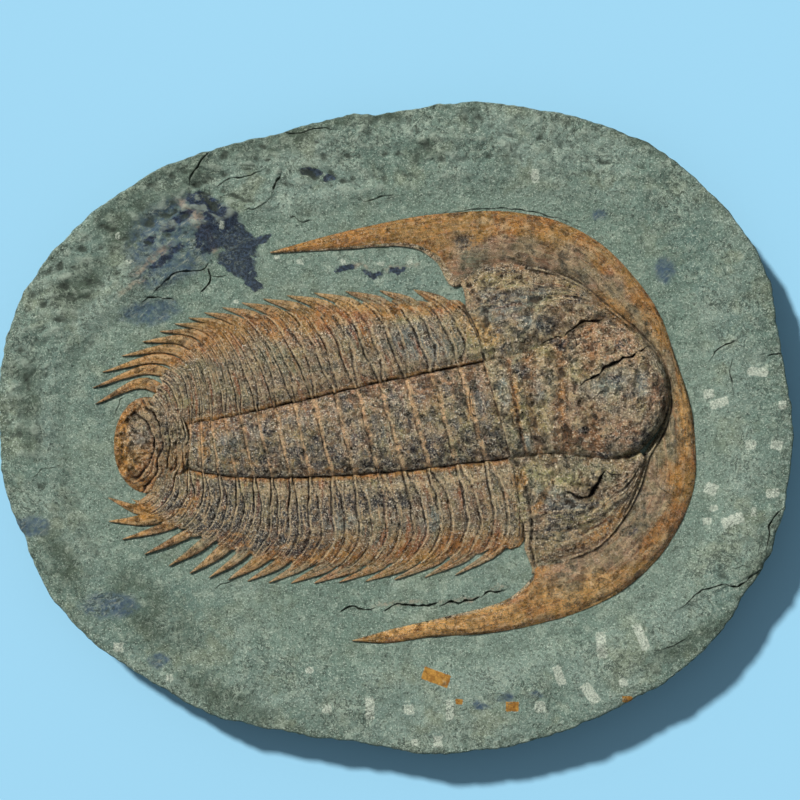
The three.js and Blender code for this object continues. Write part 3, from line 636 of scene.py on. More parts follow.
def cheek(edges, eye):
    """A cheek: a low dome with a band along its rear margin and the crescent of an eye."""
    a, w, shape = grid(np.linspace(0, 1, 110), np.linspace(-0.1, 1.1, 64))
    x, y, _ = band(edges, a, w)
    x = x + 1.4 * rough(x, y, 9, 2, 47) * ease(0.2, 0, a)
    dome = 0.16 + 0.84 * np.sin(math.pi * np.clip(0.03 + 0.86 * w, 0, 1)) ** 0.8
    ends = 0.72 + 0.28 * np.sin(math.pi * (0.12 + 0.76 * a))
    rise = CHEEK_RISE * dome * ends
    bent = a + 0.03 * noise(x, y, 18, 33) - 0.05 * np.sin(math.pi * np.clip(w, 0, 1))
    rise = rise + 0.7 * bump(bent, 0, 0.02) - 0.7 * bump(bent, 0.045, 0.014)
    rise = rise + 0.45 * bump(bent, 0.075, 0.01)
    ridges = 1 - 2.4 * np.abs(noise(w * 34 + 5 * noise(x, y, 22, 35), a * 60 / 14, 3.6, 37))
    rise = rise + 0.7 * ridges * ease(0.7, 0.3, w)
    away = away_from(eye, x, y)
    rise = rise + EYE_RISE * (0.1 * bump(away, 0, 1.8) + 0.12 * bump(away, 0, 6))
    hollow = 1.5 * bump(away, 6.5, 3.4) * ease(0.3, 0.6, 1 - w) * (0.6 + noise(x, y, 9, 39))
    rise = rise - hollow + 0.8 * rough(x, y, 12, 3, 31) + worn(x, y, 1.9)
    folds = 4.6 * w + 0.35 * noise(x, y, 16, 43)
    return form(x, y, rise, shape, Segment=folds, Furrow=0.4, Rib=0.8 * ease(0.75, 0.35, w),
                Rust=0.35 * ease(0.4, 0.1, w), Across=w * 34, Along=a * 60)


def glabella():
    across = np.concatenate([[-0.02], rounded_places(0.05, 0.95, 84), [1.02]])
    a, w, shape = grid(np.linspace(0, 1, 168), across)
    x, y, _ = band(GLABELLA, a, w)
    off_centre = np.clip(np.abs(2 * w - 1), 0, 1)
    arch = np.sqrt(1 - off_centre**2.4)
    rear = 0.7 + 0.3 * ease(0.1, 0.6, a)
    front = np.sqrt(np.clip(1 - ease(0.64, 1.03, a) ** 2, 0, 1))
    furrows, folds = 0, 0
    for place, half_width, depth, over_top in CROSS_FURROWS:
        run = over_top + (1 - over_top) * ease(0.2, 0.6, off_centre)
        bend = place + 0.016 * noise(x, y, 14, 7) + 0.02 * off_centre**2
        furrows = furrows + depth * run * bump(a, bend, half_width)
        folds = folds + run * bump(a, bend, 1.3 * half_width)
    rise = 2 + (GLABELLA_RISE - 2) * arch * rear * front * (1 - furrows)
    facets = terraces(1.8 * rough(x, y, 26, 4, 45), 0.8, 0.22)
    rise = rise - 0.4 + (0.7 * facets + 0.7 * rough(x, y, 12, 3, 41) + worn(x, y, 1.9)) * arch
    return form(x, y, np.minimum(rise, GLABELLA_RISE), shape, Fold=np.clip(folds, 0, 1))


# Meshes

def mesh_object(name, points, faces):
    mesh = bpy.data.meshes.new(name)
    mesh.from_pydata((np.asarray(points, float) * MM).tolist(), [], faces)
    mesh.update()
    piece = bpy.data.objects.new(name, mesh)
    bpy.context.scene.collection.objects.link(piece)
    return piece


def closed_form(name, points):
    """A closed body from a grid of top points, with upright sides and a flat underside."""
    rows, columns, _ = points.shape
    index = np.arange(rows * columns).reshape(rows, columns)
    corners = [index[:-1, :-1], index[1:, :-1], index[1:, 1:], index[:-1, 1:]]
    quads = np.stack(corners, axis=-1).reshape(-1, 4)
    edge = np.concatenate([index[0, :-1], index[:-1, -1], index[-1, :0:-1], index[:0:-1, 0]])
    low = points.reshape(-1, 3)[edge].copy()
    low[:, 2] = FOSSIL_BASE - SUNK
    below = rows * columns + np.arange(len(edge))
    sides = np.stack([edge, np.roll(edge, -1), np.roll(below, -1), below], axis=-1)
    a, b = points[1, 1, :2] - points[0, 0, :2], points[1, 0, :2] - points[0, 1, :2]
    faces = quads.tolist() + sides.tolist() + [below.tolist()]
    if a[0] * b[1] - a[1] * b[0] >= 0:
        faces = [face[::-1] for face in faces]
    return mesh_object(name, np.concatenate([points.reshape(-1, 3), low]), faces)


def combine(piece, others, operation):
    """Fuses other closed bodies into a piece, or cuts them out of it."""
    group = bpy.data.collections.new("bodies")
    for other in others:
        group.objects.link(other)
    modifier = piece.modifiers.new("combine", "BOOLEAN")
    modifier.operation = operation
    modifier.solver = "MANIFOLD"
    modifier.operand_type = "COLLECTION"
    modifier.collection = group
    shown = piece.evaluated_get(bpy.context.evaluated_depsgraph_get())
    made = bpy.data.meshes.new_from_object(shown)
    made.materials.clear()
    made.validate()
    piece.modifiers.clear()
    piece.data = made
    for other in others:
        bpy.data.objects.remove(other)
    bpy.data.collections.remove(group)


def positions(piece):
    co = np.empty(len(piece.data.vertices) * 3)
    piece.data.vertices.foreach_get("co", co)
    return co.reshape(-1, 3) / MM


def give_mark(piece, name, values):
    attribute = piece.data.attributes.new(name, "FLOAT", "POINT")
    attribute.data.foreach_set("value", np.asarray(values, np.float32))


def blurred(values, edges, rounds):
    """Each value averaged with its neighbours', again and again."""
    count = np.bincount(edges.ravel(), minlength=len(values)) + 1
    for _ in range(rounds):
        total = values + np.bincount(edges[:, 0], values[edges[:, 1]], len(values))
        total = total + np.bincount(edges[:, 1], values[edges[:, 0]], len(values))
        values = total / count
    return values


def edge_pairs(piece):
    edges = np.empty(len(piece.data.edges) * 2, np.int32)
    piece.data.edges.foreach_get("vertices", edges)
    return edges.reshape(-1, 2)


def soften_joints(piece, at_joint):
    """Rounds the valleys where two forms meet, so that they look grown together."""
    edges = edge_pairs(piece)
    co = positions(piece)
    share = np.clip(blurred(at_joint.astype(float), edges, 2) * 1.6, 0, 0.8)
    share = share * (co[:, 2] > FOSSIL_BASE + 0.2)
    co[:, 2] += share * (blurred(co[:, 2], edges, 3) - co[:, 2])
    piece.data.vertices.foreach_set("co", (co * MM).ravel())
    piece.data.update()


def mark_relief(piece, rounds, scale):
    """Marks how far each point stands above its surroundings, or lies below them. The materials use
    it to paint shade into the low places and highlights onto the high ones.
    """
    edges = edge_pairs(piece)
    z = positions(piece)[:, 2]
    relief = z - blurred(z, edges, rounds)
    relief = blurred(relief, edges, 1) / scale
    give_mark(piece, "Relief", np.clip(relief, -1, 1))


def soften(piece, sharp_degrees):
    piece.data.shade_smooth()
    piece.data.set_sharp_from_angle(angle=math.radians(sharp_degrees))


def crack(line, width, depth, height_at):
    """A thin wedge along a wandering line, to be cut out of the stone below it."""
    line = np.array([from_view(px, py) for px, py in line], float)
    lengths = np.concatenate([[0], np.cumsum(np.hypot(*np.diff(line, axis=0).T))])
    along = np.linspace(0, lengths[-1], max(int(lengths[-1] / 0.9), 3) + 1)
    x, y = curve_at(lengths, line, along).T
    joints = np.arange(0, lengths[-1] + CRACK_BEND, CRACK_BEND)
    bends = noise(joints * 3.1 + line[0, 0], joints * 0 + line[0, 1], 1.7, 201)
    shift = 1.1 * np.interp(along, joints, bends) + 0.5 * noise(x, y, 5, 203)
    aside = aside_of(np.stack([np.gradient(x), np.gradient(y)], axis=-1))
    ends = np.sqrt(np.clip(np.sin(math.pi * np.linspace(0.01, 0.99, len(x))), 0, 1))
    half = 0.5 * width * ends * np.clip(0.9 + 1.2 * noise(x, y, 3.2, 205), 0.4, 1.8) + 0.05
    z = height_at(x, y)
    middle = np.stack([x, y], axis=-1) + aside * shift[:, None]
    above = 2
    reach = aside * (half * (1 + above / depth))[:, None]
    left, right = np.c_[middle + reach, z + above], np.c_[middle - reach, z + above]
    rows = np.stack([left, right, np.c_[middle, z - depth * (0.3 + 0.7 * ends)]], axis=1)
    count = len(x)
    faces = []
    for k in range(count - 1):
        a, b = 3 * k, 3 * k + 3
        faces += [(a, a + 1, b + 1, b), (a + 1, a + 2, b + 2, b + 1), (a + 2, a, b, b + 2)]
    faces += [(2, 1, 0), (3 * count - 3, 3 * count - 2, 3 * count - 1)]
    return mesh_object("crack", rows.reshape(-1, 3), faces)


def tree_of(points):
    """A search tree that finds the nearest of some points."""
    tree = kdtree.KDTree(len(points))
    for n, point in enumerate(points.tolist()):
        tree.insert(point, n)
    tree.balance()
    return tree


def cut_cracks(piece, cracks, surface):
    """Cuts a piece's cracks, as deep as they are said to be below the points of its surface."""
    tree = tree_of(surface * (1, 1, 0))

    def height_at(x, y):
        near = [tree.find_n((a, b, 0), 3) for a, b in zip(x, y)]
        return np.array([max(surface[n][2] for _, n, _ in found) for found in near])

    wedges = [crack(line, width, depth, height_at) for width, depth, line in cracks]
    combine(piece, wedges, "DIFFERENCE")


def in_spot(spot, x, y):
    """Where places lie along and across a spot, from its centre, and the spot's half sizes."""
    px, py, length, width, degrees = (*spot, 0)[:5]
    cx, cy = from_view(px, py)
    cos, sin = math.cos(math.radians(degrees)), math.sin(math.radians(degrees))
    u, v = (x - cx) * cos + (y - cy) * sin, (y - cy) * cos - (x - cx) * sin
    return u, v, length / 2 / PIXELS_PER_MM, width / 2 / PIXELS_PER_MM


def give_stains(piece, kinds):
    """Marks how deep each point lies in the nearest stain of a kind: 0 outside, 1 well inside."""
    x, y, _ = positions(piece).T
    x, y = x + 1.3 * rough(x, y, 5, 3, 301), y + 1.3 * rough(x, y, 5, 3, 311)
    for name, (outer, inner, spots) in kinds.items():
        nearest = np.full(len(x), 9.0)
        for spot in spots:
            u, v, half_length, half_width = in_spot(spot, x, y)
            nearest = np.minimum(nearest, np.hypot(u / half_length, v / half_width))
        give_mark(piece, name, 1 - ease(inner, outer, nearest))


def give_squares(piece, kinds):
    """Marks how far inside the nearest rectangle of a kind each point lies, 0 at its edge."""
    x, y, _ = positions(piece).T
    for name, spots in kinds.items():
        deepest = np.full(len(x), -1.0)
        for spot in spots:
            u, v, half_length, half_width = in_spot(spot, x, y)
            inside = np.minimum(half_length - np.abs(u), half_width - np.abs(v))
            deepest = np.maximum(deepest, inside)
        give_mark(piece, name, deepest)


def trilobite():
    """The whole animal: its forms fused into one body, with its cracks and its marks."""
    forms = [thorax_plate(), head_border()]
    forms += [cheek(LEFT_CHEEK, LEFT_EYE), cheek(RIGHT_CHEEK, RIGHT_EYE), glabella(), tail_shield()]
    for segment in range(SEGMENTS):
        forms += [rib_spine(LEFT_GUIDES, segment), rib_spine(RIGHT_GUIDES, segment)]
    bodies = [closed_form(f"form_{n}", points) for n, (points, _) in enumerate(forms)]
    piece = bodies[0]
    combine(piece, bodies[1:], "UNION")
    piece.name = "trilobite_fossil"
    known = np.concatenate([points.reshape(-1, 3) for points, _ in forms])
    marks = np.concatenate([values for _, values in forms])
    tree = tree_of(known)
    found = [tree.find(point) for point in positions(piece).tolist()]
    soften_joints(piece, np.array([distance for _, _, distance in found]) > 0.01)
    cut_cracks(piece, FOSSIL_CRACKS, known)
    found = [tree.find(point) for point in positions(piece).tolist()]
    nearest = [n for _, n, _ in found]
    z = positions(piece)[:, 2]
    below = np.array([above.z for above, _, _ in found]) - z
    # Marks the insides of the cut cracks, where the material paints shade.
    give_mark(piece, "Crack", ease(0.5, 1.5, below) * (z > FOSSIL_BASE + 0.3))
    for column, name in enumerate(MARKS):
        give_mark(piece, name, marks[nearest, column])
    give_stains(piece, FOSSIL_STAINS)
    mark_relief(piece, 8, 0.5)
    soften(piece, 55)
    return piece


def loop_reach(points, angle):
    """How far from the origin a smooth closed loop through points lies, at each angle."""
    count = len(points)
    knots = np.array([points[k % count] for k in range(-2, count + 3)], float)
    places = np.arange(-2, count + 3)
    x, y = curve_at(places, knots, np.linspace(0, count, 2400, endpoint=False)).T
    turn = np.arctan2(y, x) % (2 * math.pi)
    order = np.argsort(turn)
    return np.interp(angle % (2 * math.pi), turn[order], np.hypot(x, y)[order], period=2 * math.pi)


def slab_rim(angle):
    """Points of the slab's chipped outline, fitted to its size."""
    reach = loop_reach(SLAB_OUTLINE, angle)
    x, y = reach * np.cos(angle), reach * np.sin(angle)
    chips = 0.9 * rough(x, y, 16, 3, 51) + 0.7 * np.abs(noise(x, y, 5, 55))
    reach = reach - chips
    x, y = reach * np.cos(angle), reach * np.sin(angle)
    x = (x - (x.max() + x.min()) / 2) * SLAB_LENGTH / (x.max() - x.min())
    y = (y - (y.max() + y.min()) / 2) * SLAB_WIDTH / (y.max() - y.min())
    return x, y


def broken_stone(x, y):
    broad = np.sin(0.061 * x + 1.7) * np.cos(0.073 * y - 0.6)
    middle = np.sin(0.17 * x - 0.11 * y + 0.9)
    fine = np.sin(0.37 * x + 0.41 * y)
    return 0.5 * broad + 0.3 * middle + 0.2 * fine


def ledge(x, y):
    """Flaked steps in the matrix, over the left half of the upper edge."""
    ragged = 5 * rough(x, y, 14, 4, 61)
    first = ease(93, 95, y + 0.22 * x + 3 * np.sin(0.13 * x) + ragged)
    second = ease(118, 120, y - 0.1 * x + 4 * np.sin(0.09 * x) + ragged)
    stretch = ease(-140, -95, x) * (1 - ease(0, 30, x))
    return (1.6 * first + 1.8 * second) * stretch


def scoops(x, y, size, seed):
    """Shallow bowls that meet in sharp ridges, as a chisel leaves them."""
    wander = 0.3 * size
    x, y = x + wander * noise(x, y, size, seed + 300), y + wander * noise(x, y, size, seed + 310)
    return 0.5 - 1.6 * np.abs(noise(x, 1.3 * y, size, seed))


def lifted_edges(x, y):
    """The stone on the upper left side of each larger crack stands a little higher."""
    total = 0
    for _, depth, line in MATRIX_CRACKS:
        if depth < 2:
            continue
        line = [from_view(px, py) for px, py in line]
        (ax, ay), (bx, by) = line[0], line[-1]
        side = (bx - ax) * (y - ay) - (by - ay) * (x - ax)
        above = side > 0 if bx >= ax else side < 0
        total = total + 0.9 * above * np.exp(-away_from(line, x, y) / 5)
    return total


def matrix_relief(x, y, place):
    """Height of the stone around the fossil, by place from the hollow (0) to the rim (1)."""
    places = [-9, 0, 0.2, 0.45, 0.7, 0.9, 0.985, 1.0]
    rises = [0, 0, 0.7, 1, 0.95, 0.8, 0.66, 0.2]
    rise = MATRIX_RISE * np.interp(place, places, rises)
    outside = ease(0, 0.45, place)
    upper_left = ease(20, 110, y - 0.5 * x)
    smooth_part = 0.2 * rough(x, y, 9, 3, 71) + 0.1 * rough(x, y, 3, 2, 75)
    smooth_part = smooth_part + 0.35 * scoops(x, y, 15, 77)
    flakes = terraces(1.7 * rough(x, 1.5 * y, 38, 5, 81), 0.6, 0.16) * (0.3 + 0.8 * upper_left)
    small = terraces(0.9 * rough(x, 1.3 * y, 13, 4, 85), 0.35, 0.2) * (0.35 + 0.65 * upper_left)
    struck = 0.9 * scoops(x, y, 19, 87) + 0.5 * scoops(x, y, 9, 89)
    struck = (0.5 + 0.6 * upper_left) * struck + lifted_edges(x, y)
    broken = FACE_CHIP * broken_stone(x, y) - ledge(x, y) + flakes + small + struck
    return rise + smooth_part + outside * broken


def shale_slab():
    angle = np.linspace(0, 2 * math.pi, SLAB_ANGLES, endpoint=False)
    rim_x, rim_y = slab_rim(angle)
    turn, outer = np.arctan2(rim_y, rim_x), np.hypot(rim_x, rim_y)
    hollow = loop_reach(HOLLOW_OUTLINE, turn)
    core = 1 / np.hypot(np.cos(turn) / HIDDEN_CORE[0], np.sin(turn) / HIDDEN_CORE[1])
    t = 1 - (1 - np.linspace(0, 1, SLAB_RINGS)) ** 1.12
    reach = core + (outer - core) * t[:, None]
    place = (reach - hollow) / (outer - hollow)
    x, y = reach * np.cos(turn), reach * np.sin(turn)
    z = FACE_Z + matrix_relief(x, y, place)
    top = np.stack([x, y, z], axis=-1)
    levels = np.array([0.93, 0.85, 0.75, 0.64, 0.53, 0.42, 0.31, 0.21, 0.12, 0.05, 0])[:, None]
    inset = np.interp(levels, [0, 0.3, 0.66, 1], [BACK_INSET, 4.5, 1.2, 0])
    along = turn * 180
    chips = 2.4 * np.abs(rough(along, levels * 40, 11, 4, 91))
    chips = chips + 1.2 * np.abs(noise(along, levels * 60, 26, 97))
    side_reach = outer - inset - chips * ease(0, 0.12, 1 - levels) * ease(-0.05, 0.1, levels)
    side_z = z[-1] * levels
    sides = np.stack([side_reach * np.cos(turn), side_reach * np.sin(turn), side_z], axis=-1)
    rings = np.concatenate([top, sides])
    count = len(rings)
    index = np.arange(count * SLAB_ANGLES).reshape(count, SLAB_ANGLES)
    after = np.roll(index, -1, axis=1)
    quads = np.stack([index[:-1], index[1:], after[1:], after[:-1]], axis=-1).reshape(-1, 4)
    faces = quads.tolist() + [index[0].tolist(), index[-1][::-1].tolist()]
    piece = mesh_object("shale_matrix", rings.reshape(-1, 3), faces)
    cut_cracks(piece, MATRIX_CRACKS, top.reshape(-1, 3))
    mark_relief(piece, 6, 0.5)
    x, y, _ = positions(piece).T
    turn, reach = np.arctan2(y, x), np.hypot(x, y)
    hollow, outer = loop_reach(HOLLOW_OUTLINE, turn), loop_reach(SLAB_OUTLINE, turn)
    give_mark(piece, "Moat", 1 - ease(-0.05, 0.28, (reach - hollow) / (outer - hollow)))
    give_mark(piece, "Rim", ease(0.955, 0.985, reach / outer))
    give_stains(piece, SLAB_STAINS)
    give_squares(piece, SLAB_SQUARES)
    soften(piece, 60)
    return piece


# Materials

def srgb(r, g, b):
    """A colour as a picture shows it, from 0 to 255, in the linear numbers of a shader."""
    parts = [c / 255 for c in (r, g, b)]
    return (*(((c + 0.055) / 1.055) ** 2.4 if c > 0.04 else c / 12.92 for c in parts), 1)


class Graph:
    """The nodes of one material, with a short call for each kind."""

    def __init__(self, name):
        self.material = bpy.data.materials.new(name)
        self.material.use_nodes = True
        self.tree = self.material.node_tree
        self.tree.nodes.clear()
        self.place = self.add("ShaderNodeTexCoord").outputs["Object"]
        self.colour = None
        self.normal = None

    def add(self, kind, inputs=(), **settings):
        node = self.tree.nodes.new(kind)
        for name, value in settings.items():
            setattr(node, name, value)
        for key, value in dict(inputs).items():
            if isinstance(value, bpy.types.NodeSocket):
                self.tree.links.new(value, node.inputs[key])
            else:
                node.inputs[key].default_value = value
        return node

    def mark(self, name):
        return self.add("ShaderNodeAttribute", attribute_name=name).outputs["Fac"]

    def math(self, operation, a, b, c=0.0):
        return self.add("ShaderNodeMath", {0: a, 1: b, 2: c}, operation=operation).outputs[0]

    def between(self, value, low, high):
        """0 below low, 1 above high, easing in between. Low may be the larger one."""
        start, end = sorted((low, high))
        limits = {"Value": self.factor(value), "From Min": start, "From Max": end}
        if low > high:
            limits.update({"To Min": 1.0, "To Max": 0.0})
        return self.add("ShaderNodeMapRange", limits, interpolation_type="SMOOTHSTEP").outputs[0]

    def factor(self, given):
        """A factor as it is, or by the name of a mark, or as a value with its two limits."""
        if isinstance(given, str):
            return self.mark(given)
        return self.between(*given) if isinstance(given, tuple) else given

    def joined(self, operation, factors):
        total, *others = (self.factor(given) for given in factors)
        for other in others:
            total = self.math(operation, total, other)
        return total

    def both(self, *factors):
        """The product of some factors."""
        return self.joined("MULTIPLY", factors)

    def most(self, *factors):
        """The largest of some factors."""
        return self.joined("MAXIMUM", factors)

    def noise(self, size, detail, roughness, stretch=(1, 1, 1), turn=0.0, warp=0.0):
        """Noise with features of that size in millimetres, stretched along an axis if asked."""
        place = self.place
        if stretch != (1, 1, 1) or turn:
            moved = {"Vector": place, "Rotation": (0, 0, turn), "Scale": stretch}
            place = self.add("ShaderNodeMapping", moved, vector_type="TEXTURE").outputs[0]
        return self.noise_at(place, 1 / (size * MM), detail, roughness, warp)

    def noise_at(self, place, scale, detail, roughness, warp=0.0):
        settings = {"Vector": place, "Scale": scale, "Detail": detail, "Roughness": roughness}
        return self.add("ShaderNodeTexNoise", {**settings, "Distortion": warp}).outputs["Fac"]

    def streaks(self, across, along, detail, roughness):
        """Noise drawn out along the ribs, the rings and the brim, with sizes in millimetres."""
        parts = {0: self.both("Across", 1 / across), 1: self.both("Along", 1 / along)}
        place = self.add("ShaderNodeCombineXYZ", parts).outputs[0]
        return self.noise_at(place, 1.0, detail, roughness)

    def line(self, count, place, half_width):
        """A thin line wherever a count passes that place between two whole numbers."""
        away = self.math("PINGPONG", self.math("SUBTRACT", count, place), 0.5)
        return self.between(away, half_width, half_width * 0.35)

    def mix(self, factor, a, b):
        """One colour turning into another. The node's sockets for colours have these numbers."""
        inputs = {0: self.factor(factor), 6: self.colour_of(a), 7: self.colour_of(b)}
        return self.add("ShaderNodeMix", inputs, data_type="RGBA").outputs[2]

    def colour_of(self, given):
        return srgb(*given) if isinstance(given, tuple) else given

    def paint(self, colour, strength, *factors):
        """Lays a colour over the material's colour, as strong as the product of the factors."""
        self.colour = self.mix(self.both(*factors, strength), self.colour, colour)

    def bump(self, height, distance, strength=1.0):
        """Adds fine relief to the material: a height from 0 to 1, over so many millimetres."""
        inputs = {"Height": height, "Distance": distance * MM, "Strength": strength}
        if self.normal is not None:
            inputs["Normal"] = self.normal
        self.normal = self.add("ShaderNodeBump", inputs).outputs[0]

    def cells(self, size, ragged=0.5):
        """Two random numbers for each of many ragged chips of that size in millimetres."""
        size = size * MM
        wander = {"Vector": self.place, "Scale": 2.2 / size, "Detail": 4.0}
        wander = self.add("ShaderNodeTexNoise", wander)
        centred = {0: wander.outputs["Color"], 1: (0.5, 0.5, 0.5)}
        shift = self.add("ShaderNodeVectorMath", centred, operation="SUBTRACT").outputs[0]
        scaled = {0: shift, 1: (2 * ragged * size,) * 3, 2: self.place}
        place = self.add("ShaderNodeVectorMath", scaled, operation="MULTIPLY_ADD").outputs[0]
        chips = self.add("ShaderNodeTexVoronoi", {"Vector": place, "Scale": 1 / size})
        parts = self.add("ShaderNodeSeparateColor", {0: chips.outputs["Color"]}).outputs
        return parts[0], parts[1]

    def finish(self, roughness, specular, lighter=1.0):
        """Closes the material. Its colour is multiplied, because deep bumps darken it."""
        scaled = {0: self.colour, "Scale": lighter}
        colour = self.add("ShaderNodeVectorMath", scaled, operation="SCALE").outputs[0]
        inputs = {"Base Color": colour, "Roughness": roughness, "Normal": self.normal,
                  "Specular IOR Level": specular}
        shader = self.add("ShaderNodeBsdfPrincipled", inputs).outputs[0]
        self.add("ShaderNodeOutputMaterial", {"Surface": shader})
        return self.material


def shale_material():
    """Grey-green shale: mottled, grainy and finely chipped, stained in places, with painted shade
    in its hollows and painted shadows and highlights along its ledges and raised places.
    """
    g = Graph("shale")
    relief, moat = g.mark("Relief"), g.mark("Moat")
    clouds = g.noise(48, 5, 0.65, warp=0.5)
    warm = g.noise(26, 6, 0.66)
    patches = g.noise(9, 6, 0.7)
    mottle = g.noise(3.2, 6, 0.75)
    grain = g.noise(0.8, 3, 0.7)
    speck = g.noise(1.5, 5, 0.78)
    chip_tone, chip_kind = g.cells(3.4)
    g.colour = g.mix((clouds, 0.38, 0.62), (107, 130, 118), (131, 150, 138))
    g.paint((128, 134, 108), 0.6, (warm, 0.5, 0.64))
    g.paint((104, 128, 120), 0.5, (warm, 0.46, 0.34))
    g.paint((116, 137, 122), 0.5, moat)
    g.paint((92, 122, 116), 0.5, "Teal", (patches, 0.4, 0.6))
    g.paint((74, 88, 74), 0.9, "Brown", (warm, 0.25, 0.6))
    g.paint((72, 84, 70), 0.6, "Rim", (mottle, 0.4, 0.6))
    g.paint((94, 110, 97), 0.5, (patches, 0.51, 0.64))
    g.paint((146, 158, 141), 0.5, (patches, 0.47, 0.35))
    g.paint((86, 99, 86), 0.55, (mottle, 0.52, 0.64))
    g.paint((156, 170, 155), 0.45, (mottle, 0.46, 0.34))
    g.paint((168, 178, 160), 0.25, (chip_tone, 0.8, 0.86), (mottle, 0.6, 0.45))
    g.paint((84, 98, 88), 0.25, (chip_tone, 0.2, 0.14), (mottle, 0.4, 0.55))
    g.paint((54, 64, 56), 0.75, (speck, 0.53, 0.62))
    not_brown = g.math("MULTIPLY_ADD", g.mark("Brown"), -0.5, 0.75)
    g.paint((186, 198, 182), 1, (grain, 0.46, 0.35), not_brown)
    scrapes = g.noise(1.6, 5, 0.7, stretch=(5, 1, 1), turn=0.7)
    g.paint((82, 100, 110), 0.6, "Blue", (patches, 0.62, 0.44))
    g.paint((66, 86, 104), 0.95, "Blue", (mottle, 0.62, 0.4), (scrapes, 0.72, 0.48))
    g.paint((150, 152, 140), 0.6, "Blue", (scrapes, 0.56, 0.66))
    g.paint((162, 146, 126), 0.85, "Beige", (mottle, 0.62, 0.42), (scrapes, 0.36, 0.5))
    ink = g.math("SUBTRACT", g.mark("Ink"), g.math("MULTIPLY_ADD", mottle, 2.6, -0.9))
    ink = g.both((ink, -0.3, 0.2), (scrapes, 0.74, 0.6), ("Ink", 0.0, 0.2))
    g.paint(g.mix((speck, 0.42, 0.54), (56, 70, 92), (32, 38, 52)), 0.92, ink)
    ragged = g.math("MULTIPLY_ADD", g.math("SUBTRACT", speck, 0.5), 1.6, g.mark("Flake"))
    flaked = g.mix((mottle, 0.4, 0.6), (182, 136, 64), (140, 96, 44))
    g.paint(flaked, 1, (ragged, -0.05, 0.12))
    ragged = g.math("MULTIPLY_ADD", g.math("SUBTRACT", speck, 0.5), 3.0, g.mark("Bruise"))
    bruised = g.mix((grain, 0.4, 0.62), (204, 210, 194), (150, 162, 146))
    g.paint(bruised, 0.9, (ragged, -0.2, 0.3), (mottle, 0.7, 0.5))
    # Painted shadow and painted highlight: thin dark lines where flaked ledges would cast shade,
    # and pale lines beside them where ledge edges would catch the light, drawn along noise contours
    # in patches, weaker in the hollow.
    ledge_contours = g.math("MULTIPLY", g.noise(20, 7, 0.66, warp=0.3), 13)
    broken = g.both((g.noise(17, 4, 0.7), 0.5, 0.58), g.math("MULTIPLY_ADD", moat, -0.5, 1.0))
    g.paint((58, 68, 60), 0.7, g.line(ledge_contours, 0.0, 0.2), broken)
    g.paint((166, 178, 160), 0.35, g.line(ledge_contours, 0.3, 0.2), broken)
    # Painted shade: low places, such as the cracks and hollows, are darkened.
    g.paint((54, 62, 54), 0.85, (relief, -0.2, -0.9))
    # Painted highlight: raised places away from the rim are made paler.
    g.paint((162, 174, 158), 0.5, (relief, 0.25, 0.9), ("Rim", 1, 0))
    g.bump(g.between(patches, 0.4, 0.6), 1.2)
    g.bump(mottle, 2.2)
    g.bump(speck, 1.8)
    g.bump(chip_kind, 0.3, 0.8)
    return g.finish(0.92, 0.2, lighter=1.24)


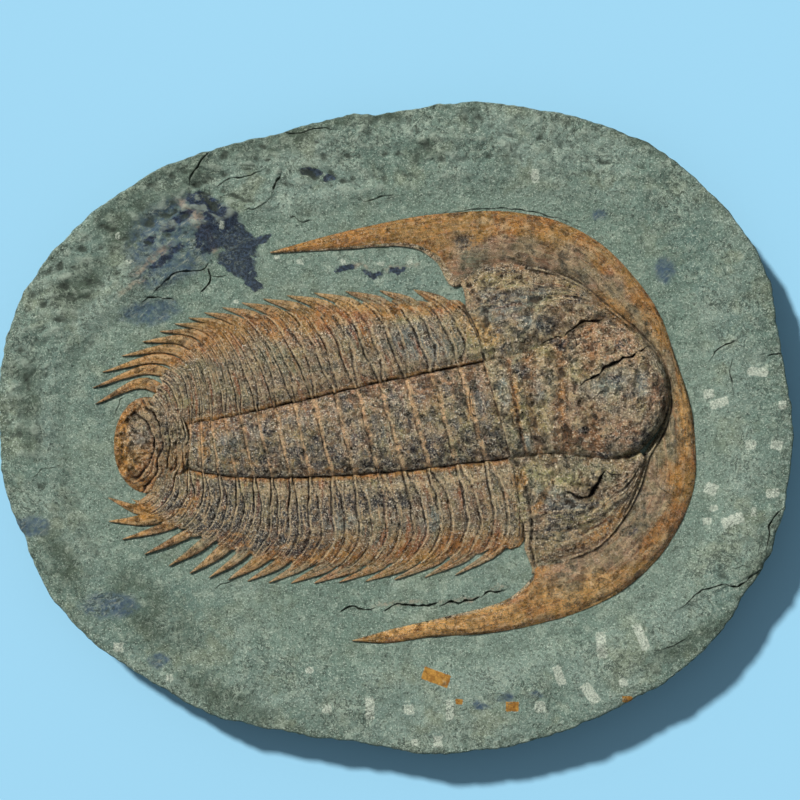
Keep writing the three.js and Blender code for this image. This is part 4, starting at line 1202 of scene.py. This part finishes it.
def fossil_material():
    """The fossil's stone: brown, olive and grey, rusty on the spines, with painted highlights on
    its crests, painted shade in its grooves, hollows and cracks, and painted glints.
    """
    g = Graph("fossil")
    marks = ("Relief", "Rust", "Rib", "Ring", "Brim", "Segment", "Furrow")
    relief, rust, rib, ring, brim, segment, furrow = (g.mark(name) for name in marks)
    clouds = g.noise(24, 5, 0.65, warp=0.5)
    patches = g.noise(9, 6, 0.68)
    mottle = g.noise(3.0, 6, 0.75)
    grain = g.noise(0.85, 4, 0.75)
    flecks = g.noise(1.5, 5, 0.78)
    streaks = g.streaks(1.2, 14, 5, 0.7)
    chip_tone, chip_kind = g.cells(2.6)
    slab_tone, slab_kind = g.cells(9, 0.6)
    warm = g.noise(13, 5, 0.66, turn=0.4)
    lined = g.most(rib, ring)
    drawn_out = g.most(rib, g.both(brim, 0.45), g.both(ring, 0.4))
    g.colour = g.mix((clouds, 0.4, 0.58), (122, 118, 88), (140, 114, 90))
    g.paint((118, 122, 104), 0.35, (slab_tone, 0.55, 0.6))
    g.paint((150, 126, 100), 0.35, (slab_kind, 0.66, 0.7))
    g.paint((98, 102, 94), 0.7, (patches, 0.52, 0.64))
    g.paint((152, 128, 96), 0.6, (patches, 0.46, 0.36))
    g.paint((80, 78, 66), 0.55, (mottle, 0.53, 0.64))
    g.paint((168, 140, 102), 0.6, (mottle, 0.47, 0.35))
    g.paint((156, 142, 88), 0.55, (g.noise(14, 4, 0.66, turn=1.0), 0.53, 0.64), (mottle, 0.6, 0.45))
    bare = g.between(brim, 1, 0)
    g.paint((160, 116, 84), 0.75, "Pink", (mottle, 0.66, 0.42))
    g.paint((142, 138, 88), 0.75, "Olive", (mottle, 0.66, 0.42))
    g.paint((120, 134, 132), 0.75, "Blue", (mottle, 0.66, 0.44))
    g.paint((178, 164, 128), 0.45, (chip_tone, 0.78, 0.84), (mottle, 0.6, 0.48), bare)
    g.paint((70, 70, 66), 0.55, (chip_tone, 0.24, 0.18), (mottle, 0.42, 0.54), bare)
    g.paint((160, 112, 68), 0.35, (chip_kind, 0.82, 0.9), (patches, 0.56, 0.46))
    brimmed = g.mix((warm, 0.42, 0.6), (128, 116, 86), (160, 128, 102))
    brimmed = g.mix((patches, 0.48, 0.62), brimmed, (108, 102, 82))
    g.paint(brimmed, 0.75, brim)
    rusty_colour = g.mix((mottle, 0.4, 0.58), (188, 124, 52), (132, 86, 40))
    rusty_colour = g.mix(g.both((clouds, 0.42, 0.56), 0.5), rusty_colour, (164, 132, 64))
    rusty_colour = g.mix(g.both((warm, 0.54, 0.64), 0.6), rusty_colour, (166, 112, 80))
    g.paint(rusty_colour, 0.88, (rust, 0.15, 0.85), (patches, 0.2, 0.46))
    g.paint((180, 126, 54), 0.8, "Orange", (mottle, 0.64, 0.44))
    g.paint((212, 164, 96), 0.8, "Pale", (mottle, 0.66, 0.42))
    g.paint((120, 134, 116), 0.7, "Green", (streaks, 0.58, 0.44))
    g.paint((146, 98, 54), 0.75, "Fold", (mottle, 0.64, 0.46))
    g.paint((158, 108, 72), 0.6, ring, ("Along", 24, 4), (mottle, 0.62, 0.44))
    pads = g.both(ring, g.line(segment, 0.5, 0.42), (g.noise(5, 4, 0.7), 0.48, 0.56))
    g.paint(g.mix((flecks, 0.42, 0.56), (92, 100, 104), (44, 46, 52)), 0.7, pads)
    g.paint((158, 88, 46), 0.65, (g.streaks(3, 22, 3, 0.6), 0.54, 0.66), drawn_out)
    stained = g.mix((flecks, 0.46, 0.56), (54, 62, 74), (32, 36, 42))
    g.paint(stained, 0.85, "Stain", (mottle, 0.4, 0.52))
    # Painted shade: the lower side of the axis's rings is darkened, in blotches.
    g.paint((54, 50, 54), 0.7, ring, ("Along", 26, 38), (mottle, 0.44, 0.56))
    g.paint((58, 44, 32), 0.85, (streaks, 0.52, 0.62), drawn_out)
    g.paint((200, 170, 128), 0.75, (streaks, 0.46, 0.38), drawn_out)
    gritty = g.math("SUBTRACT", 1.0, g.both(g.most(brim, (rust, 0.3, 1)), 0.6))
    g.paint((30, 27, 23), 0.9, (flecks, 0.53, 0.61), gritty)
    g.paint((228, 216, 192), 0.9, (grain, 0.47, 0.37), gritty)
    # Painted glints: small near-white flecks on the ribs and rings.
    g.paint((222, 222, 212), 0.8, (g.noise(1.1, 2, 0.5), 0.66, 0.72), lined)
    # Painted shade: thin dark lines in the grooves between segments and along the ribs' slanting
    # furrows, broken in places.
    broken = g.both((g.noise(6, 3, 0.7), 0.4, 0.5), (flecks, 0.34, 0.46))
    groove_shade_line = g.most(g.line(segment, 0.02, 0.05), g.both(g.line(furrow, 0.03, 0.045), rib))
    g.paint((40, 33, 27), 0.85, groove_shade_line, lined, broken)
    # Painted highlight: thin pale lines along the raised rear edges of the segments and beside the
    # ribs' furrows, and broader pale bands on the rings' rear edges.
    ring_highlight_band = g.both(g.line(segment, 0.92, 0.14), ring, (mottle, 0.64, 0.46), 0.9)
    furrow_line = g.both(g.line(furrow, 0.93, 0.036), rib)
    crest_highlight_line = g.most(g.line(segment, 0.92, 0.042), furrow_line, ring_highlight_band)
    crest_highlight_line = g.both(crest_highlight_line, lined, (grain, 0.62, 0.46), (g.noise(7, 3, 0.7), 0.38, 0.5))
    g.paint(g.mix(g.both(ring, 0.7), (208, 188, 152), (212, 162, 112)), 0.8, crest_highlight_line)
    # Painted shade: low places, such as grooves and hollows, are darkened.
    g.paint((44, 36, 28), 0.85, (relief, -0.15, -0.85))
    # Painted highlight: high places are made paler, in flecks.
    g.paint((198, 176, 138), 0.5, (relief, 0.15, 0.7), (flecks, 0.62, 0.48))
    # Painted shade: the insides of the cracks are made near black.
    g.paint((24, 18, 12), 0.9, "Crack")
    g.bump(g.both(streaks, drawn_out), 1.8)
    g.bump(g.between(patches, 0.42, 0.58), 1.2)
    g.bump(mottle, 3.4)
    g.bump(flecks, 2.0)
    g.bump(chip_kind, 0.3, 0.8)
    return g.finish(g.between(mottle, 0.62, 0.3), 0.4, lighter=1.62)


def plain_material(name, colour, roughness):
    g = Graph(name)
    cloud = g.noise(600, 2, 0.5)
    paler = srgb(*colour)[:3]
    darker = g.add("ShaderNodeVectorMath", {0: paler, "Scale": 0.985}, operation="SCALE")
    g.colour = g.mix((cloud, 0.3, 0.7), colour, darker.outputs[0])
    g.bump(cloud, 0.01, 0.1)
    return g.finish(roughness, 0.2)


# Stage

def camera():
    data = bpy.data.cameras.new("camera")
    data.lens = LENS
    data.sensor_width = SENSOR
    eye = bpy.data.objects.new("camera", data)
    height = FACE_Z + VIEW_WIDTH * LENS / SENSOR
    eye.location = (VIEW_CENTRE[0] * MM, VIEW_CENTRE[1] * MM, height * MM)
    bpy.context.scene.collection.objects.link(eye)
    bpy.context.scene.camera = eye


def lights():
    data = bpy.data.lights.new("key", "SUN")
    data.energy = SUN_STRENGTH
    data.angle = math.radians(SUN_DEGREES)
    data.color = SUN_COLOUR
    key = bpy.data.objects.new("key", data)
    key.rotation_euler = Vector(SUN_TOWARDS).to_track_quat("-Z", "Y").to_euler()
    bpy.context.scene.collection.objects.link(key)
    world = bpy.data.worlds.new("studio")
    world.use_nodes = True
    sky = world.node_tree.nodes["Background"].inputs
    sky["Color"].default_value = SKY_COLOUR
    sky["Strength"].default_value = SKY_STRENGTH
    bpy.context.scene.world = world


def floor():
    half = FLOOR_HALF_WIDTH
    corners = [(-half, -half, 0), (half, -half, 0), (half, half, 0), (-half, half, 0)]
    piece = mesh_object("floor", corners, [(0, 1, 2, 3)])
    piece.data.materials.append(plain_material("pale_floor", FLOOR_COLOUR, 0.8))


camera()
bpy.context.scene.view_settings.view_transform = "Standard"
fossil = trilobite()
fossil.data.materials.append(fossil_material())
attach(fossil, "root")
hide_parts("trilobite")
slab = shale_slab()
slab.data.materials.append(shale_material())
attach(slab, "root")
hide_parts("shale_slab")
floor()
lights()
for piece in (fossil, slab):
    print(piece.name, sum(len(face.vertices) - 2 for face in piece.data.polygons), "triangles")
